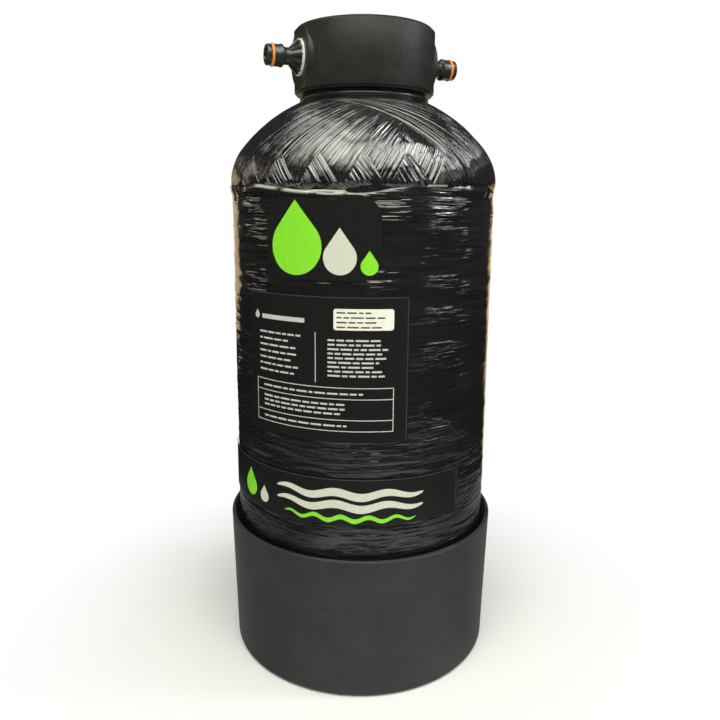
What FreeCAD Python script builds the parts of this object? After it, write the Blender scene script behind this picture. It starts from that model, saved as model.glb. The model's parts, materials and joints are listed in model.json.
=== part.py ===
import FreeCAD, Part
import math
import os
from types import SimpleNamespace

import Sketcher

# Portable deionization resin vessel: a wound pressure shell with a plastic liner, a base cup, a
# screw-in head with two hose spigots, and the pipework and resin inside.
# The origin is the centre of the base's underside. +Z is up. The inlet spigot points to -X and
# the outlet spigot to +X.

# Every size that can be set by itself. Lengths are in millimetres and angles in degrees.
SIZES = (
    ("shell_radius", 103.0, "outside of the wound cylinder"),
    ("shoulder_swell", 1.2, "extra thickness of the winding at the top shoulder"),
    ("side_height", 294.4, "height of the shell's side between its two domes"),
    ("shoulder_taper", 6.0, "height over which the winding thickens to the shoulder"),
    ("top_knuckle", 45.7, "knuckle radius of the top dome"),
    ("top_crown_excess", 16.2, "crown radius of the top dome beyond the shoulder's radius"),
    ("bottom_knuckle", 45.0, "knuckle radius of the bottom dome"),
    ("bottom_crown_excess", 17.0, "crown radius of the bottom dome beyond the shell's"),
    ("winding", 2.6, "wall of the wound shell"),
    ("bond_gap", 0.1, "space between bonded or seated pieces"),
    ("liner_wall", 3.0, "wall of the plastic liner"),
    ("collar_step", 3.8, "width of the neck's collar outside its barrel"),
    ("neck_rise", 4.6, "height of the neck's sealing face above the winding"),
    ("barrel_wall", 7.55, "wall of the neck's barrel"),
    ("barrel_length", 22.5, "height of the neck insert from its lower end to its top"),
    ("flange_reach", 10.2, "width of the flange welded under the liner"),
    ("flange_wall", 4.0, "thickness of that flange"),
    ("moving_gap", 0.3, "space between pieces that move apart"),
    ("neck_seal_section", 1.765, "section radius of the large seal ring"),
    ("head_overhang", 6.0, "width by which the head stands out over the neck"),
    ("head_height", 47.5, "height of the head above its seat"),
    ("head_chamfer", 2.1, "bevel round the head's top"),
    ("lip_step", 1.4, "width of the step above the lip under the head"),
    ("lip_height", 1.6, "height of that lip"),
    ("head_spigot_radius", 36.15, "outside of the threaded spigot"),
    ("head_spigot_length", 19.0, "length of the threaded spigot"),
    ("spigot_wall", 5.15, "wall of the threaded spigot"),
    ("chamber_height", 14.2, "height of the ring chamber above the head's seat"),
    ("hub_radius", 19.0, "outside of the riser hub"),
    ("hub_drop", 15.8, "length of the riser hub below the head's seat"),
    ("socket_stop", 3.2, "height of the riser socket's stop above the head's seat"),
    ("well_radius", 7.5, "radius of the upright passage over the riser"),
    ("port_rise", 25.0, "height of the port axis above the head's seat"),
    ("spot_depth", 1.8, "depth of a boss face inside the head's outside"),
    ("boss_radius", 22.3, "radius of the flat boss face"),
    ("boss_flank", 6.0, "radius of the hollow flank round a boss"),
    ("boss_root", 30.0, "distance from the head's axis at which a boss starts"),
    ("port_depth", 15.0, "depth of the threaded port"),
    ("passage_radius", 7.0, "radius of the passages behind the ports"),
    ("drop_radius", 5.5, "radius of the upright passage into the ring chamber"),
    ("riser_radius", 13.35, "outside of the riser tube"),
    ("riser_wall", 2.35, "wall of the riser tube"),
    ("riser_seal_section", 1.0, "section radius of the riser's seal ring"),
    ("riser_seal_drop", 10.2, "depth of that ring's centre below the head's seat"),
    ("riser_seal_depth", 2.0, "depth of its groove in the socket's wall"),
    ("strainer_radius", 25.0, "outside of the bottom strainer"),
    ("strainer_wall", 2.0, "wall of both strainers"),
    ("strainer_height", 43.0, "height of the bottom strainer's basket"),
    ("strainer_slots", 24.0, "slots round each strainer"),
    ("slot_width", 1.2, "width of a strainer slot"),
    ("slot_margin", 5.0, "solid band above and below the slots"),
    ("cap_height", 4.0, "thickness of the bottom strainer's cap"),
    ("socket_wall", 2.55, "wall of the socket that holds the riser"),
    ("socket_height", 18.0, "height of that socket above the cap"),
    ("upper_strainer_drop", 44.0, "depth of the top strainer below the head's seat"),
    ("collar_height", 9.0, "height of the top strainer's collar inside the spigot"),
    ("headspace", 39.8, "free height between the resin bed and the top strainer"),
    ("resin_gap", 0.3, "space between the resin bed and its container"),
    ("foot_space", 0.4, "space between the shell and the cup's wall at its foot"),
    ("rim_space", 3.5, "space between the shell and the cup's wall at its rim"),
    ("cup_height", 110.9, "height of the base cup"),
    ("cup_wall", 2.6, "wall of the base cup"),
    ("cup_corner", 4.0, "round between the cup's wall and its foot"),
    ("cup_rim_round", 1.1, "round of the cup's rim"),
    ("foot_width", 7.0, "width of the ring that the cup stands on"),
    ("floor_rise", 2.0, "height of the cup's floor above its foot"),
    ("floor_wall", 3.0, "thickness of the cup's floor"),
    ("dome_rise", 8.0, "height of the shell's lowest point"),
    ("rib_count", 12.0, "cradle ribs in the base cup"),
    ("rib_wall", 2.4, "thickness of a cradle rib"),
    ("rib_start", 22.0, "distance of a rib's inner end from the axis"),
    ("rib_drop", 18.9, "depth of a rib's top below the rim"),
    ("seal_washer_radius", 13.2, "outside of the white thread seal"),
    ("seal_washer_wall", 1.3, "thickness of the white thread seal"),
    ("shank_radius", 10.4, "outside of a connector's threaded shank"),
    ("shank_length", 14.5, "length of the shank inside the port"),
    ("connector_length", 26.0, "length of a connector outside the boss"),
    ("connector_bore", 4.7, "bore of a connector"),
    ("flare_radius", 12.3, "outside of the ribbed flare"),
    ("flare_core", 10.6, "radius of the flare between its ribs"),
    ("flare_end", 8.5, "distance from the boss to the end of the flare"),
    ("flare_ribs", 12.0, "ribs round the flare"),
    ("flare_rib_wall", 1.8, "thickness of a flare rib"),
    ("throat_radius", 6.2, "radius of the throat behind the latch ridge"),
    ("throat_end", 12.2, "distance from the boss to the end of the throat"),
    ("ridge_step", 0.4, "height of the latch ridge above the plain barrel"),
    ("ridge_start", 14.0, "distance from the boss to the ridge's flat"),
    ("ridge_end", 15.4, "distance from the boss to the ridge's far edge"),
    ("barrel_start", 16.2, "distance from the boss to the plain barrel"),
    ("plug_radius", 7.8, "radius of the plain barrel"),
    ("hose_seal_place", 21.3, "distance from the boss to the middle of the hose seal"),
    ("hose_seal_section", 1.15, "section radius of the hose seal"),
    ("hose_seal_depth", 1.85, "depth of the hose seal's groove"),
    ("nose_step", 0.3, "depth of the nose below the plain barrel"),
    ("nose_round", 1.2, "round at the nose's tip"),
    ("label_film", 0.3, "thickness of the printed labels"),
    ("label_gap", 0.1, "space under a label"),
    ("emblem_azimuth", -128.4, "direction of the emblem label's middle"),
    ("emblem_width", 84.0, "its width"),
    ("emblem_height", 57.0, "its height"),
    ("emblem_corner", 16.0, "round of its corners"),
    ("data_azimuth", -128.6, "direction of the data label's middle"),
    ("data_width", 125.0, "its width round the shell"),
    ("data_height", 102.2, "its height"),
    ("sticker_turn", 17.1, "angle from the data label's middle to the pale sticker's"),
    ("sticker_rise", 35.9, "height of the sticker's middle above the data label's"),
    ("sticker_width", 41.4, "its width"),
    ("sticker_height", 14.6, "its height"),
    ("sticker_corner", 1.8, "round of its corners"),
    ("band_azimuth", -132.1, "direction of the band label's middle"),
    ("band_width", 230.0, "its width round the shell"),
    ("band_height", 34.6, "its height"),
    ("band_share", 0.395, "part of the free height on the shell's side that lies under the band"),
    ("data_share", 0.425, "part of it between the band and the data label"),
    ("emblem_share", 0.165, "part of it between the data label and the emblem"),
)


class Size:
    """A number kept together with the sheet formula that gives it."""

    def __init__(self, value, formula):
        self.value = value
        self.formula = formula

    def __add__(self, other):
        return combined(self, other, "+", lambda first, second: first + second)

    def __radd__(self, other):
        return as_size(other) + self

    def __sub__(self, other):
        return combined(self, other, "-", lambda first, second: first - second)

    def __rsub__(self, other):
        return as_size(other) - self

    def __mul__(self, other):
        return combined(self, other, "*", lambda first, second: first * second)

    def __rmul__(self, other):
        return as_size(other) * self

    def __truediv__(self, other):
        return combined(self, other, "/", lambda first, second: first / second)

    def __neg__(self):
        return Size(-self.value, "(0 - " + self.formula + ")")


def as_size(number):
    if isinstance(number, Size):
        return number
    return Size(float(number), "(" + repr(float(number)) + ")")


def combined(first, second, sign, operation):
    first = as_size(first)
    second = as_size(second)
    formula = "(" + first.formula + " " + sign + " " + second.formula + ")"
    return Size(operation(first.value, second.value), formula)


def root(size):
    return Size(math.sqrt(size.value), "sqrt(" + size.formula + ")")


def leg(hypotenuse, other_leg):
    """The second short side of a right-angled triangle."""
    return root(hypotenuse * hypotenuse - other_leg * other_leg)


doc = FreeCAD.newDocument("resin_vessel")


def fill_sheet():
    """Write every size into the sheet and return them as named values tied to its cells."""
    sheet = doc.addObject("Spreadsheet::Sheet", "Sizes")
    named = {}
    for row, (alias, number, note) in enumerate(SIZES, start=1):
        sheet.set("A" + str(row), alias)
        sheet.set("B" + str(row), str(number))
        sheet.set("C" + str(row), note)
        sheet.setAlias("B" + str(row), alias)
        named[alias] = Size(number, "Sizes." + alias)
    doc.recompute()
    return SimpleNamespace(**named)


size = fill_sheet()


# Sketches and features

def origin_item(body, role):
    return next(item for item in body.Origin.OriginFeatures if item.Role == role)


def new_body(label):
    body = doc.addObject("PartDesign::Body", label)
    body.Label = label
    return body


def new_sketch(body, plane):
    sketch = body.newObject("Sketcher::SketchObject", body.Label + "_sketch")
    sketch.AttachmentSupport = [(origin_item(body, plane), "")]
    sketch.MapMode = "FlatFace"
    return sketch


def bind(sketch, constraint, formula):
    index = sketch.addConstraint(constraint)
    sketch.setExpression("Constraints[" + str(index) + "]", formula)


def pin_point(sketch, edge, end, x, y):
    """Hold one end of an edge at sheet-driven coordinates."""
    for kind, axis_edge, reading in (("DistanceX", -2, as_size(x)), ("DistanceY", -1, as_size(y))):
        if reading.formula == "(0.0)":
            sketch.addConstraint(Sketcher.Constraint("PointOnObject", edge, end, axis_edge))
        else:
            constraint = Sketcher.Constraint(kind, -1, 1, edge, end, reading.value)
            bind(sketch, constraint, reading.formula)


def vector(point):
    return FreeCAD.Vector(as_size(point[0]).value, as_size(point[1]).value, 0)


def arc_between(first, last, radius):
    """The short arc from first to last that turns to the left round its centre."""
    chord = last - first
    middle = (first + last) * 0.5
    normal = FreeCAD.Vector(-chord.y, chord.x, 0).normalize()
    centre = middle + normal * math.sqrt(max(radius ** 2 - chord.Length ** 2 / 4, 0))
    start = math.atan2(first.y - centre.y, first.x - centre.x)
    finish = math.atan2(last.y - centre.y, last.x - centre.x)
    circle = Part.Circle(centre, FreeCAD.Vector(0, 0, 1), radius)
    return Part.ArcOfCircle(circle, start, finish + (2 * math.pi if finish < start else 0))


def draw_outline(sketch, points):
    """Draw a closed outline.

    Each point is (x, y), or (x, y, radius) where the edge that reaches it is an arc: a positive
    radius turns left round its centre and a negative one turns right.
    """
    heads = []
    for index, point in enumerate(points):
        start = vector(points[index - 1])
        finish = vector(point)
        if len(point) == 2:
            edge = sketch.addGeometry(Part.LineSegment(start, finish), False)
            heads.append((edge, 1, 2))
            continue
        radius = as_size(point[2])
        if radius.value > 0:
            edge = sketch.addGeometry(arc_between(start, finish, radius.value), False)
            heads.append((edge, 1, 2))
            bind(sketch, Sketcher.Constraint("Radius", edge, radius.value), radius.formula)
        else:
            edge = sketch.addGeometry(arc_between(finish, start, -radius.value), False)
            heads.append((edge, 2, 1))
            bind(sketch, Sketcher.Constraint("Radius", edge, -radius.value), (-radius).formula)
    for index, point in enumerate(points):
        edge, _, tail = heads[index]
        next_edge, head, _ = heads[(index + 1) % len(points)]
        sketch.addConstraint(Sketcher.Constraint("Coincident", edge, tail, next_edge, head))
        pin_point(sketch, edge, tail, point[0], point[1])


def draw_axis(sketch, start, finish):
    """Draw a construction line for a feature to turn about."""
    edge = sketch.addGeometry(Part.LineSegment(vector(start), vector(finish)), True)
    pin_point(sketch, edge, 1, *start)
    pin_point(sketch, edge, 2, *finish)


def turned(body, kind, points, axis="V_Axis", line=None):
    """Turn an outline in the XZ plane about an axis of its sketch, or about a line of its own."""
    sketch = new_sketch(body, "XZ_Plane")
    draw_outline(sketch, points)
    if line:
        draw_axis(sketch, *line)
    feature = body.newObject("PartDesign::" + kind, body.Label + "_" + kind.lower())
    feature.Profile = sketch
    feature.ReferenceAxis = (sketch, [axis])
    feature.Angle = 360
    doc.recompute()
    return feature


def spun(label, points, axis="V_Axis"):
    """A body made by turning one outline."""
    body = new_body(label)
    turned(body, "Revolution", points, axis)
    return body


def repeated(body, feature, axis, count):
    """Repeat a feature evenly round an axis of the body."""
    pattern = body.newObject("PartDesign::PolarPattern", body.Label + "_pattern")
    pattern.Originals = [feature]
    pattern.Axis = (origin_item(body, axis), [""])
    pattern.Angle = 360
    pattern.setExpression("Occurrences", count.formula)
    body.Tip = pattern
    doc.recompute()
    return pattern


def thick_plate(body, kind, plane, points, wall):
    """Pad or pocket an outline by half a thickness to each side of an origin plane."""
    sketch = new_sketch(body, plane)
    draw_outline(sketch, points)
    feature = body.newObject("PartDesign::" + kind, body.Label + "_" + kind.lower())
    feature.Profile = sketch
    feature.Midplane = True
    feature.setExpression("Length", wall.formula)
    doc.recompute()
    return feature


def box_points(left, bottom, right, top):
    return [(left, bottom), (right, bottom), (right, top), (left, top)]


def rounded_box(half_width, half_height, corner, middle=0):
    """A rectangle with round corners, centred on the sketch's upright axis."""
    inner_x = half_width - corner
    low = middle - half_height
    high = middle + half_height
    return [
        (inner_x, low),
        (half_width, low + corner, corner),
        (half_width, high - corner),
        (inner_x, high, corner),
        (-inner_x, high),
        (-half_width, high - corner, corner),
        (-half_width, low + corner),
        (-inner_x, low, corner),
    ]


# Pressure vessel

class Dome:
    """A dished end: a knuckle arc that runs into a crown arc, with walls parallel to it."""

    def __init__(self, radius, knuckle, crown, seam, direction):
        self.radius = radius
        self.knuckle = knuckle
        self.crown = crown
        self.seam = seam
        self.direction = direction
        self.reach = crown - knuckle
        self.inset = radius - knuckle
        self.rise = leg(self.reach, self.inset)
        self.centre = seam - direction * self.rise

    def side(self, depth):
        """Where the surface at this depth leaves the cylinder."""
        return self.radius - depth, self.seam

    def joint(self, depth):
        """Where the knuckle and the crown meet."""
        share = (self.crown - depth) / self.reach
        return share * self.inset, self.centre + self.direction * share * self.rise

    def height(self, distance, depth):
        """Height of the crown at a distance from the axis."""
        return self.centre + self.direction * leg(self.crown - depth, distance)

    def apex(self, depth):
        return self.centre + self.direction * (self.crown - depth)


# Sizes that follow from others, worked from the base up and from the neck out

bottom_crown = size.shell_radius + size.bottom_crown_excess
bottom_reach = bottom_crown - size.bottom_knuckle
bottom_inset = size.shell_radius - size.bottom_knuckle
bottom_seam = size.dome_rise + bottom_crown - leg(bottom_reach, bottom_inset)
bottom_dome = Dome(size.shell_radius, size.bottom_knuckle, bottom_crown, bottom_seam, -1)
shoulder_z = bottom_seam + size.side_height
shoulder_radius = size.shell_radius + size.shoulder_swell
hoop_top = shoulder_z - size.shoulder_taper
top_crown = shoulder_radius + size.top_crown_excess
top_dome = Dome(shoulder_radius, size.top_knuckle, top_crown, shoulder_z, 1)
liner_depth = size.winding + size.bond_gap
cavity_depth = liner_depth + size.liner_wall

neck_bore = size.head_spigot_radius + size.moving_gap
barrel_radius = neck_bore + size.barrel_wall
neck_radius = barrel_radius + size.collar_step
flange_radius = neck_radius + size.flange_reach
neck_top = top_dome.height(neck_radius, 0) + size.neck_rise
barrel_bottom = neck_top - size.barrel_length

head_seat = neck_top + size.moving_gap
resin_level = head_seat - size.upper_strainer_drop - size.headspace
head_radius = neck_radius + size.head_overhang
lip_radius = head_radius - size.lip_step
chamber_radius = size.head_spigot_radius - size.spigot_wall
drop_place = (chamber_radius + size.hub_radius) / 2
port_z = head_seat + size.port_rise
port_face = head_radius - size.spot_depth
port_radius = size.shank_radius + size.bond_gap
seal_washer_bore = size.shank_radius + size.moving_gap
ridge_radius = size.plug_radius + size.ridge_step
nose_radius = size.plug_radius - size.nose_step
hose_seal_groove = size.plug_radius - size.hose_seal_depth

riser_bore = size.riser_radius - size.riser_wall
socket_radius = size.riser_radius + size.bond_gap + size.socket_wall
strainer_bottom = bottom_dome.height(size.strainer_radius, cavity_depth) + size.moving_gap

cup_foot_radius = size.shell_radius + size.foot_space + size.cup_wall
cup_rim_radius = size.shell_radius + size.rim_space + size.cup_wall
rib_top = size.cup_height - size.rib_drop

label_heights = size.band_height + size.data_height + size.emblem_height
free_height = hoop_top - size.cup_height - label_heights
band_low = size.cup_height + size.band_share * free_height
data_low = band_low + size.band_height + size.data_share * free_height
emblem_low = data_low + size.data_height + size.emblem_share * free_height
band_z = band_low + size.band_height / 2
data_z = data_low + size.data_height / 2
emblem_z = emblem_low + size.emblem_height / 2
sticker_z = data_z + size.sticker_rise
sticker_azimuth = size.data_azimuth + size.sticker_turn


def vessel_line(depth, collar):
    """The vessel's surface at a depth, from its lowest point up to the neck's collar."""
    return [
        (0, bottom_dome.apex(depth)),
        (*bottom_dome.joint(depth), bottom_crown - depth),
        (*bottom_dome.side(depth), size.bottom_knuckle - depth),
        (size.shell_radius - depth, hoop_top),
        top_dome.side(depth),
        (*top_dome.joint(depth), size.top_knuckle - depth),
        (collar, top_dome.height(collar, depth), top_crown - depth),
    ]


def reversed_line(points):
    """The same line walked the other way, with its arcs turned round."""
    walked = [points[-1][:2]]
    for index in range(len(points) - 1, 0, -1):
        x, y = points[index - 1][:2]
        arc = points[index][2:]
        walked.append((x, y, -arc[0]) if arc else (x, y))
    return walked


def vessel_wall(label, outer_depth, inner_depth, collar):
    outer = vessel_line(outer_depth, collar)
    inner = vessel_line(inner_depth, collar)
    return spun(label, outer + reversed_line(inner))


def make_wound_shell():
    collar = neck_radius + size.bond_gap
    return vessel_wall("wound_shell", as_size(0), size.winding, collar)


def make_inner_liner():
    collar = neck_radius + size.bond_gap
    return vessel_wall("inner_liner", liner_depth, cavity_depth, collar)


def seal_bevel():
    """Width of the bevel that leaves the neck seal clear by the moving gap on every side."""
    section = size.neck_seal_section
    return 2 * section + root(as_size(2)) * (section + size.moving_gap)


def make_neck_insert():
    bevel = seal_bevel()
    weld = cavity_depth + size.bond_gap
    under = weld + size.flange_wall
    return spun("neck_insert", [
        (neck_bore, barrel_bottom),
        (barrel_radius, barrel_bottom),
        (barrel_radius, top_dome.height(barrel_radius, under)),
        (flange_radius, top_dome.height(flange_radius, under), under - top_crown),
        (flange_radius, top_dome.height(flange_radius, weld)),
        (neck_radius, top_dome.height(neck_radius, weld), top_crown - weld),
        (neck_radius, neck_top),
        (neck_bore + bevel, neck_top),
        (neck_bore, neck_top - bevel),
    ])


def make_resin_bed():
    """The resin fills the liner round the strainer and the riser, up to its level."""
    depth = cavity_depth + size.resin_gap
    basket = size.strainer_radius + size.resin_gap
    socket = socket_radius + size.resin_gap
    riser = size.riser_radius + size.resin_gap
    cap_top = strainer_bottom + size.strainer_height + size.cap_height + size.resin_gap
    socket_top = cap_top + size.socket_height
    return spun("resin_bed", [
        (basket, bottom_dome.height(basket, depth)),
        (*bottom_dome.joint(depth), bottom_crown - depth),
        (*bottom_dome.side(depth), size.bottom_knuckle - depth),
        (size.shell_radius - depth, resin_level),
        (riser, resin_level),
        (riser, socket_top),
        (socket, socket_top),
        (socket, cap_top),
        (basket, cap_top),
    ])


# Pipework inside the vessel

def cut_slots(body, outer_radius, low, high):
    """Cut evenly spaced upright slots through a strainer's wall."""
    outline = box_points(-size.slot_width / 2, low, size.slot_width / 2, high)
    sketch = new_sketch(body, "YZ_Plane")
    draw_outline(sketch, outline)
    slot = body.newObject("PartDesign::Pocket", body.Label + "_slot")
    slot.Profile = sketch
    slot.Reversed = True
    slot.setExpression("Length", (outer_radius + size.strainer_wall).formula)
    doc.recompute()
    return repeated(body, slot, "Z_Axis", size.strainer_slots)


def make_bottom_strainer_basket():
    bore = size.strainer_radius - size.strainer_wall
    floor = strainer_bottom + size.strainer_wall
    rim = strainer_bottom + size.strainer_height
    body = spun("bottom_strainer_basket", [
        (0, strainer_bottom),
        (size.strainer_radius, strainer_bottom),
        (size.strainer_radius, rim),
        (bore, rim),
        (bore, floor),
        (0, floor),
    ])
    low = floor + size.slot_margin
    cut_slots(body, size.strainer_radius, low, rim - size.slot_margin)
    return body


def make_bottom_strainer_hub():
    """The cap of the basket, with a plug ring below and the riser's socket above."""
    rim = strainer_bottom + size.strainer_height
    cap_top = rim + size.cap_height
    plug = size.strainer_radius - size.strainer_wall - size.bond_gap
    return spun("bottom_strainer_hub", [
        (riser_bore, rim),
        (plug - size.strainer_wall, rim),
        (plug - size.strainer_wall, rim - size.slot_margin),
        (plug, rim - size.slot_margin),
        (plug, rim),
        (size.strainer_radius, rim),
        (size.strainer_radius, cap_top),
        (socket_radius, cap_top),
        (socket_radius, cap_top + size.socket_height),
        (size.riser_radius + size.bond_gap, cap_top + size.socket_height),
        (size.riser_radius + size.bond_gap, cap_top),
        (riser_bore, cap_top),
    ])


def make_riser_tube():
    """The riser stands on its socket's stop and ends level with the neck's top."""
    foot = strainer_bottom + size.strainer_height + size.cap_height
    return spun("riser_tube", box_points(riser_bore, foot, size.riser_radius, neck_top))


# Head

def port_line():
    """The port axis, drawn in the XZ plane."""
    return (0, port_z), (port_face, port_z)


def add_boss(body, side):
    """A round boss with a hollow flank that runs out on the head's side."""
    waist = size.boss_radius + size.boss_flank
    face = side * port_face
    flank = face - side * size.boss_flank
    root_x = side * size.boss_root
    turned(body, "Revolution", [
        (root_x, port_z),
        (face, port_z),
        (face, port_z + size.boss_radius),
        (flank, port_z + waist, size.boss_flank * -side),
        (root_x, port_z + waist),
    ], "Axis0", port_line())


def cut_port(body, side, inner_end):
    """Spot face, threaded port and passage, cut in one stepped bore."""
    face = side * port_face
    shoulder = face - side * size.port_depth
    clear = side * (head_radius + size.boss_flank)
    turned(body, "Groove", [
        (inner_end, port_z),
        (clear, port_z),
        (clear, port_z + size.boss_radius),
        (face, port_z + size.boss_radius),
        (face, port_z + port_radius),
        (shoulder, port_z + port_radius),
        (shoulder, port_z + size.passage_radius),
        (inner_end, port_z + size.passage_radius),
    ], "Axis0", port_line())


def trim_head(body):
    """Bevel the top and free the underside and the lip from the bosses."""
    top = head_seat + size.head_height
    far = head_radius + size.boss_flank
    low = head_seat - size.boss_flank
    turned(body, "Groove", [
        (0, top),
        (head_radius - size.head_chamfer, top),
        (far, top - size.head_chamfer - size.boss_flank),
        (far, top + size.boss_flank),
        (0, top + size.boss_flank),
    ])
    turned(body, "Groove", [
        (0, low),
        (far, low),
        (far, head_seat + size.lip_height),
        (lip_radius, head_seat + size.lip_height),
        (lip_radius, head_seat),
        (0, head_seat),
    ])


def cut_chamber(body):
    """Hollow the spigot and the head round the riser's hub."""
    spigot_end = head_seat - size.head_spigot_length
    hub_end = head_seat - size.hub_drop
    ceiling = head_seat + size.chamber_height
    turned(body, "Groove", [
        (0, spigot_end),
        (chamber_radius, spigot_end),
        (chamber_radius, ceiling),
        (size.hub_radius, ceiling),
        (size.hub_radius, hub_end),
        (0, hub_end),
    ])


def cut_riser_socket(body):
    """The riser's socket with its seal groove, and the passage from it up to the port axis."""
    hub_end = head_seat - size.hub_drop
    bore = size.riser_radius + size.moving_gap
    groove_low = head_seat - size.riser_seal_drop - size.riser_seal_section - size.moving_gap
    groove_high = head_seat - size.riser_seal_drop + size.riser_seal_section + size.moving_gap
    turned(body, "Groove", [
        (0, hub_end),
        (bore, hub_end),
        (bore, groove_low),
        (bore + size.riser_seal_depth, groove_low),
        (bore + size.riser_seal_depth, groove_high),
        (bore, groove_high),
        (bore, head_seat + size.socket_stop),
        (size.well_radius, head_seat + size.socket_stop),
        (size.well_radius, port_z),
        (0, port_z),
    ])


def cut_drop(body):
    """The upright passage from the inlet bore down into the ring chamber."""
    ceiling = head_seat + size.chamber_height
    low = ceiling - size.slot_margin
    turned(body, "Groove", [
        (-drop_place, low),
        (-drop_place + size.drop_radius, low),
        (-drop_place + size.drop_radius, port_z),
        (-drop_place, port_z),
    ], "Axis0", ((-drop_place, low), (-drop_place, port_z)))


def make_head_body():
    body = new_body("head_body")
    top = head_seat + size.head_height
    turned(body, "Revolution", [
        (0, head_seat),
        (head_radius, head_seat),
        (head_radius, top),
        (0, top),
    ])
    for side in (-1, 1):
        add_boss(body, side)
    trim_head(body)
    spigot_end = head_seat - size.head_spigot_length
    turned(body, "Revolution", [
        (0, spigot_end),
        (size.head_spigot_radius, spigot_end),
        (size.head_spigot_radius, head_seat),
        (0, head_seat),
    ])
    cut_chamber(body)
    cut_riser_socket(body)
    cut_port(body, -1, -drop_place)
    cut_port(body, 1, as_size(0))
    cut_drop(body)
    return body


def make_top_strainer():
    """A basket that plugs into the spigot and hangs round the riser."""
    spigot_end = head_seat - size.head_spigot_length
    floor = head_seat - size.upper_strainer_drop
    outer = chamber_radius - size.bond_gap
    bore = outer - size.strainer_wall
    body = spun("top_strainer", [
        (size.riser_radius + size.moving_gap, floor),
        (outer, floor),
        (outer, spigot_end + size.collar_height),
        (bore, spigot_end + size.collar_height),
        (bore, floor + size.strainer_wall),
        (size.riser_radius + size.moving_gap, floor + size.strainer_wall),
    ])
    low = floor + size.strainer_wall + size.slot_margin
    cut_slots(body, outer, low, spigot_end - size.slot_margin)
    return body


# Seal rings

def seal_ring(label, ring_radius, section, x, z, along_x):
    """A round-section ring, its axis upright or along X."""
    ring = doc.addObject("Part::Torus", label)
    ring.Label = label
    ring.setExpression("Radius1", ring_radius.formula)
    ring.setExpression("Radius2", section.formula)
    if along_x:
        ring.Placement.Rotation = FreeCAD.Rotation(FreeCAD.Vector(0, 1, 0), 90)
    ring.setExpression("Placement.Base.x", as_size(x).formula)
    ring.setExpression("Placement.Base.z", z.formula)
    return ring


def make_neck_o_ring():
    section = size.neck_seal_section
    radius = size.head_spigot_radius + size.moving_gap + section
    return seal_ring("neck_o_ring", radius, section, 0, neck_top - section, False)


def make_riser_o_ring():
    section = size.riser_seal_section
    groove = size.riser_radius + size.moving_gap + size.riser_seal_depth
    radius = groove - size.bond_gap - section
    height = head_seat - size.riser_seal_drop
    return seal_ring("riser_o_ring", radius, section, 0, height, False)


def make_hose_seal(label, side):
    section = size.hose_seal_section
    radius = hose_seal_groove + size.bond_gap + section
    place = side * (port_face + size.hose_seal_place)
    return seal_ring(label, radius, section, place, port_z, True)


# Hose connectors, drawn along X from their boss face and placed at a port

def place_at_port(body, side):
    """Put a piece that was drawn from a boss face on the left or the right port."""
    turn = 0 if side > 0 else 180
    body.Placement.Rotation = FreeCAD.Rotation(FreeCAD.Vector(0, 0, 1), turn)
    body.setExpression("Placement.Base.x", (side * port_face).formula)
    body.setExpression("Placement.Base.z", port_z.formula)


def make_thread_seal(label, side):
    body = spun(label, box_points(0, seal_washer_bore, size.seal_washer_wall,
                                  size.seal_washer_radius), "H_Axis")
    place_at_port(body, side)
    return body


def connector_outline():
    seat = size.seal_washer_wall
    groove_half = size.hose_seal_section + size.bond_gap
    groove_low = size.hose_seal_place - groove_half
    groove_high = size.hose_seal_place + groove_half
    tip = size.connector_length
    return [
        (-size.shank_length, size.connector_bore),
        (tip, size.connector_bore),
        (tip, nose_radius - size.nose_round),
        (tip - size.nose_round, nose_radius, size.nose_round),
        (groove_high, nose_radius),
        (groove_high, hose_seal_groove),
        (groove_low, hose_seal_groove),
        (groove_low, size.plug_radius),
        (size.barrel_start, size.plug_radius),
        (size.ridge_end, ridge_radius),
        (size.ridge_start, ridge_radius),
        (size.throat_end, size.throat_radius),
        (size.flare_end, size.throat_radius),
        (seat, size.flare_core),
        (seat, size.shank_radius),
        (-size.shank_length, size.shank_radius),
    ]


def add_flare_ribs(body):
    """Ribs that give the flare its ridged cone."""
    seat = size.seal_washer_wall
    rib = thick_plate(body, "Pad", "XZ_Plane", [
        (seat, size.throat_radius),
        (size.flare_end, size.throat_radius),
        (size.flare_end / 2, size.flare_core),
        (size.flare_end / 3, size.flare_radius),
        (seat, size.flare_radius),
    ], size.flare_rib_wall)
    repeated(body, rib, "X_Axis", size.flare_ribs)


def make_connector(label, side):
    body = spun(label, connector_outline(), "H_Axis")
    add_flare_ribs(body)
    place_at_port(body, side)
    return body


# Base cup

def cup_outside(height):
    """Radius of the cup's tapered outside at a height."""
    slope = (cup_rim_radius - cup_foot_radius) / (size.cup_height - size.cup_corner)
    return cup_foot_radius + slope * (height - size.cup_corner)


def cradle_rib_points():
    """One rib: a fin beside the shell that runs on under its bottom dome."""
    floor = size.floor_rise + size.floor_wall
    root_low = floor - size.floor_wall / 2
    seat = -size.bond_gap
    return [
        (size.rib_start, root_low),
        (cup_outside(root_low) - size.cup_wall - size.cup_corner / 2, root_low),
        (cup_outside(floor + size.cup_corner) - size.cup_wall / 2, floor + size.cup_corner),
        (cup_outside(rib_top) - size.cup_wall / 2, rib_top),
        (size.shell_radius - seat, rib_top),
        bottom_dome.side(seat),
        (*bottom_dome.joint(seat), seat - size.bottom_knuckle),
        (size.rib_start, bottom_dome.height(size.rib_start, seat), seat - bottom_crown),
    ]


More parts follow.
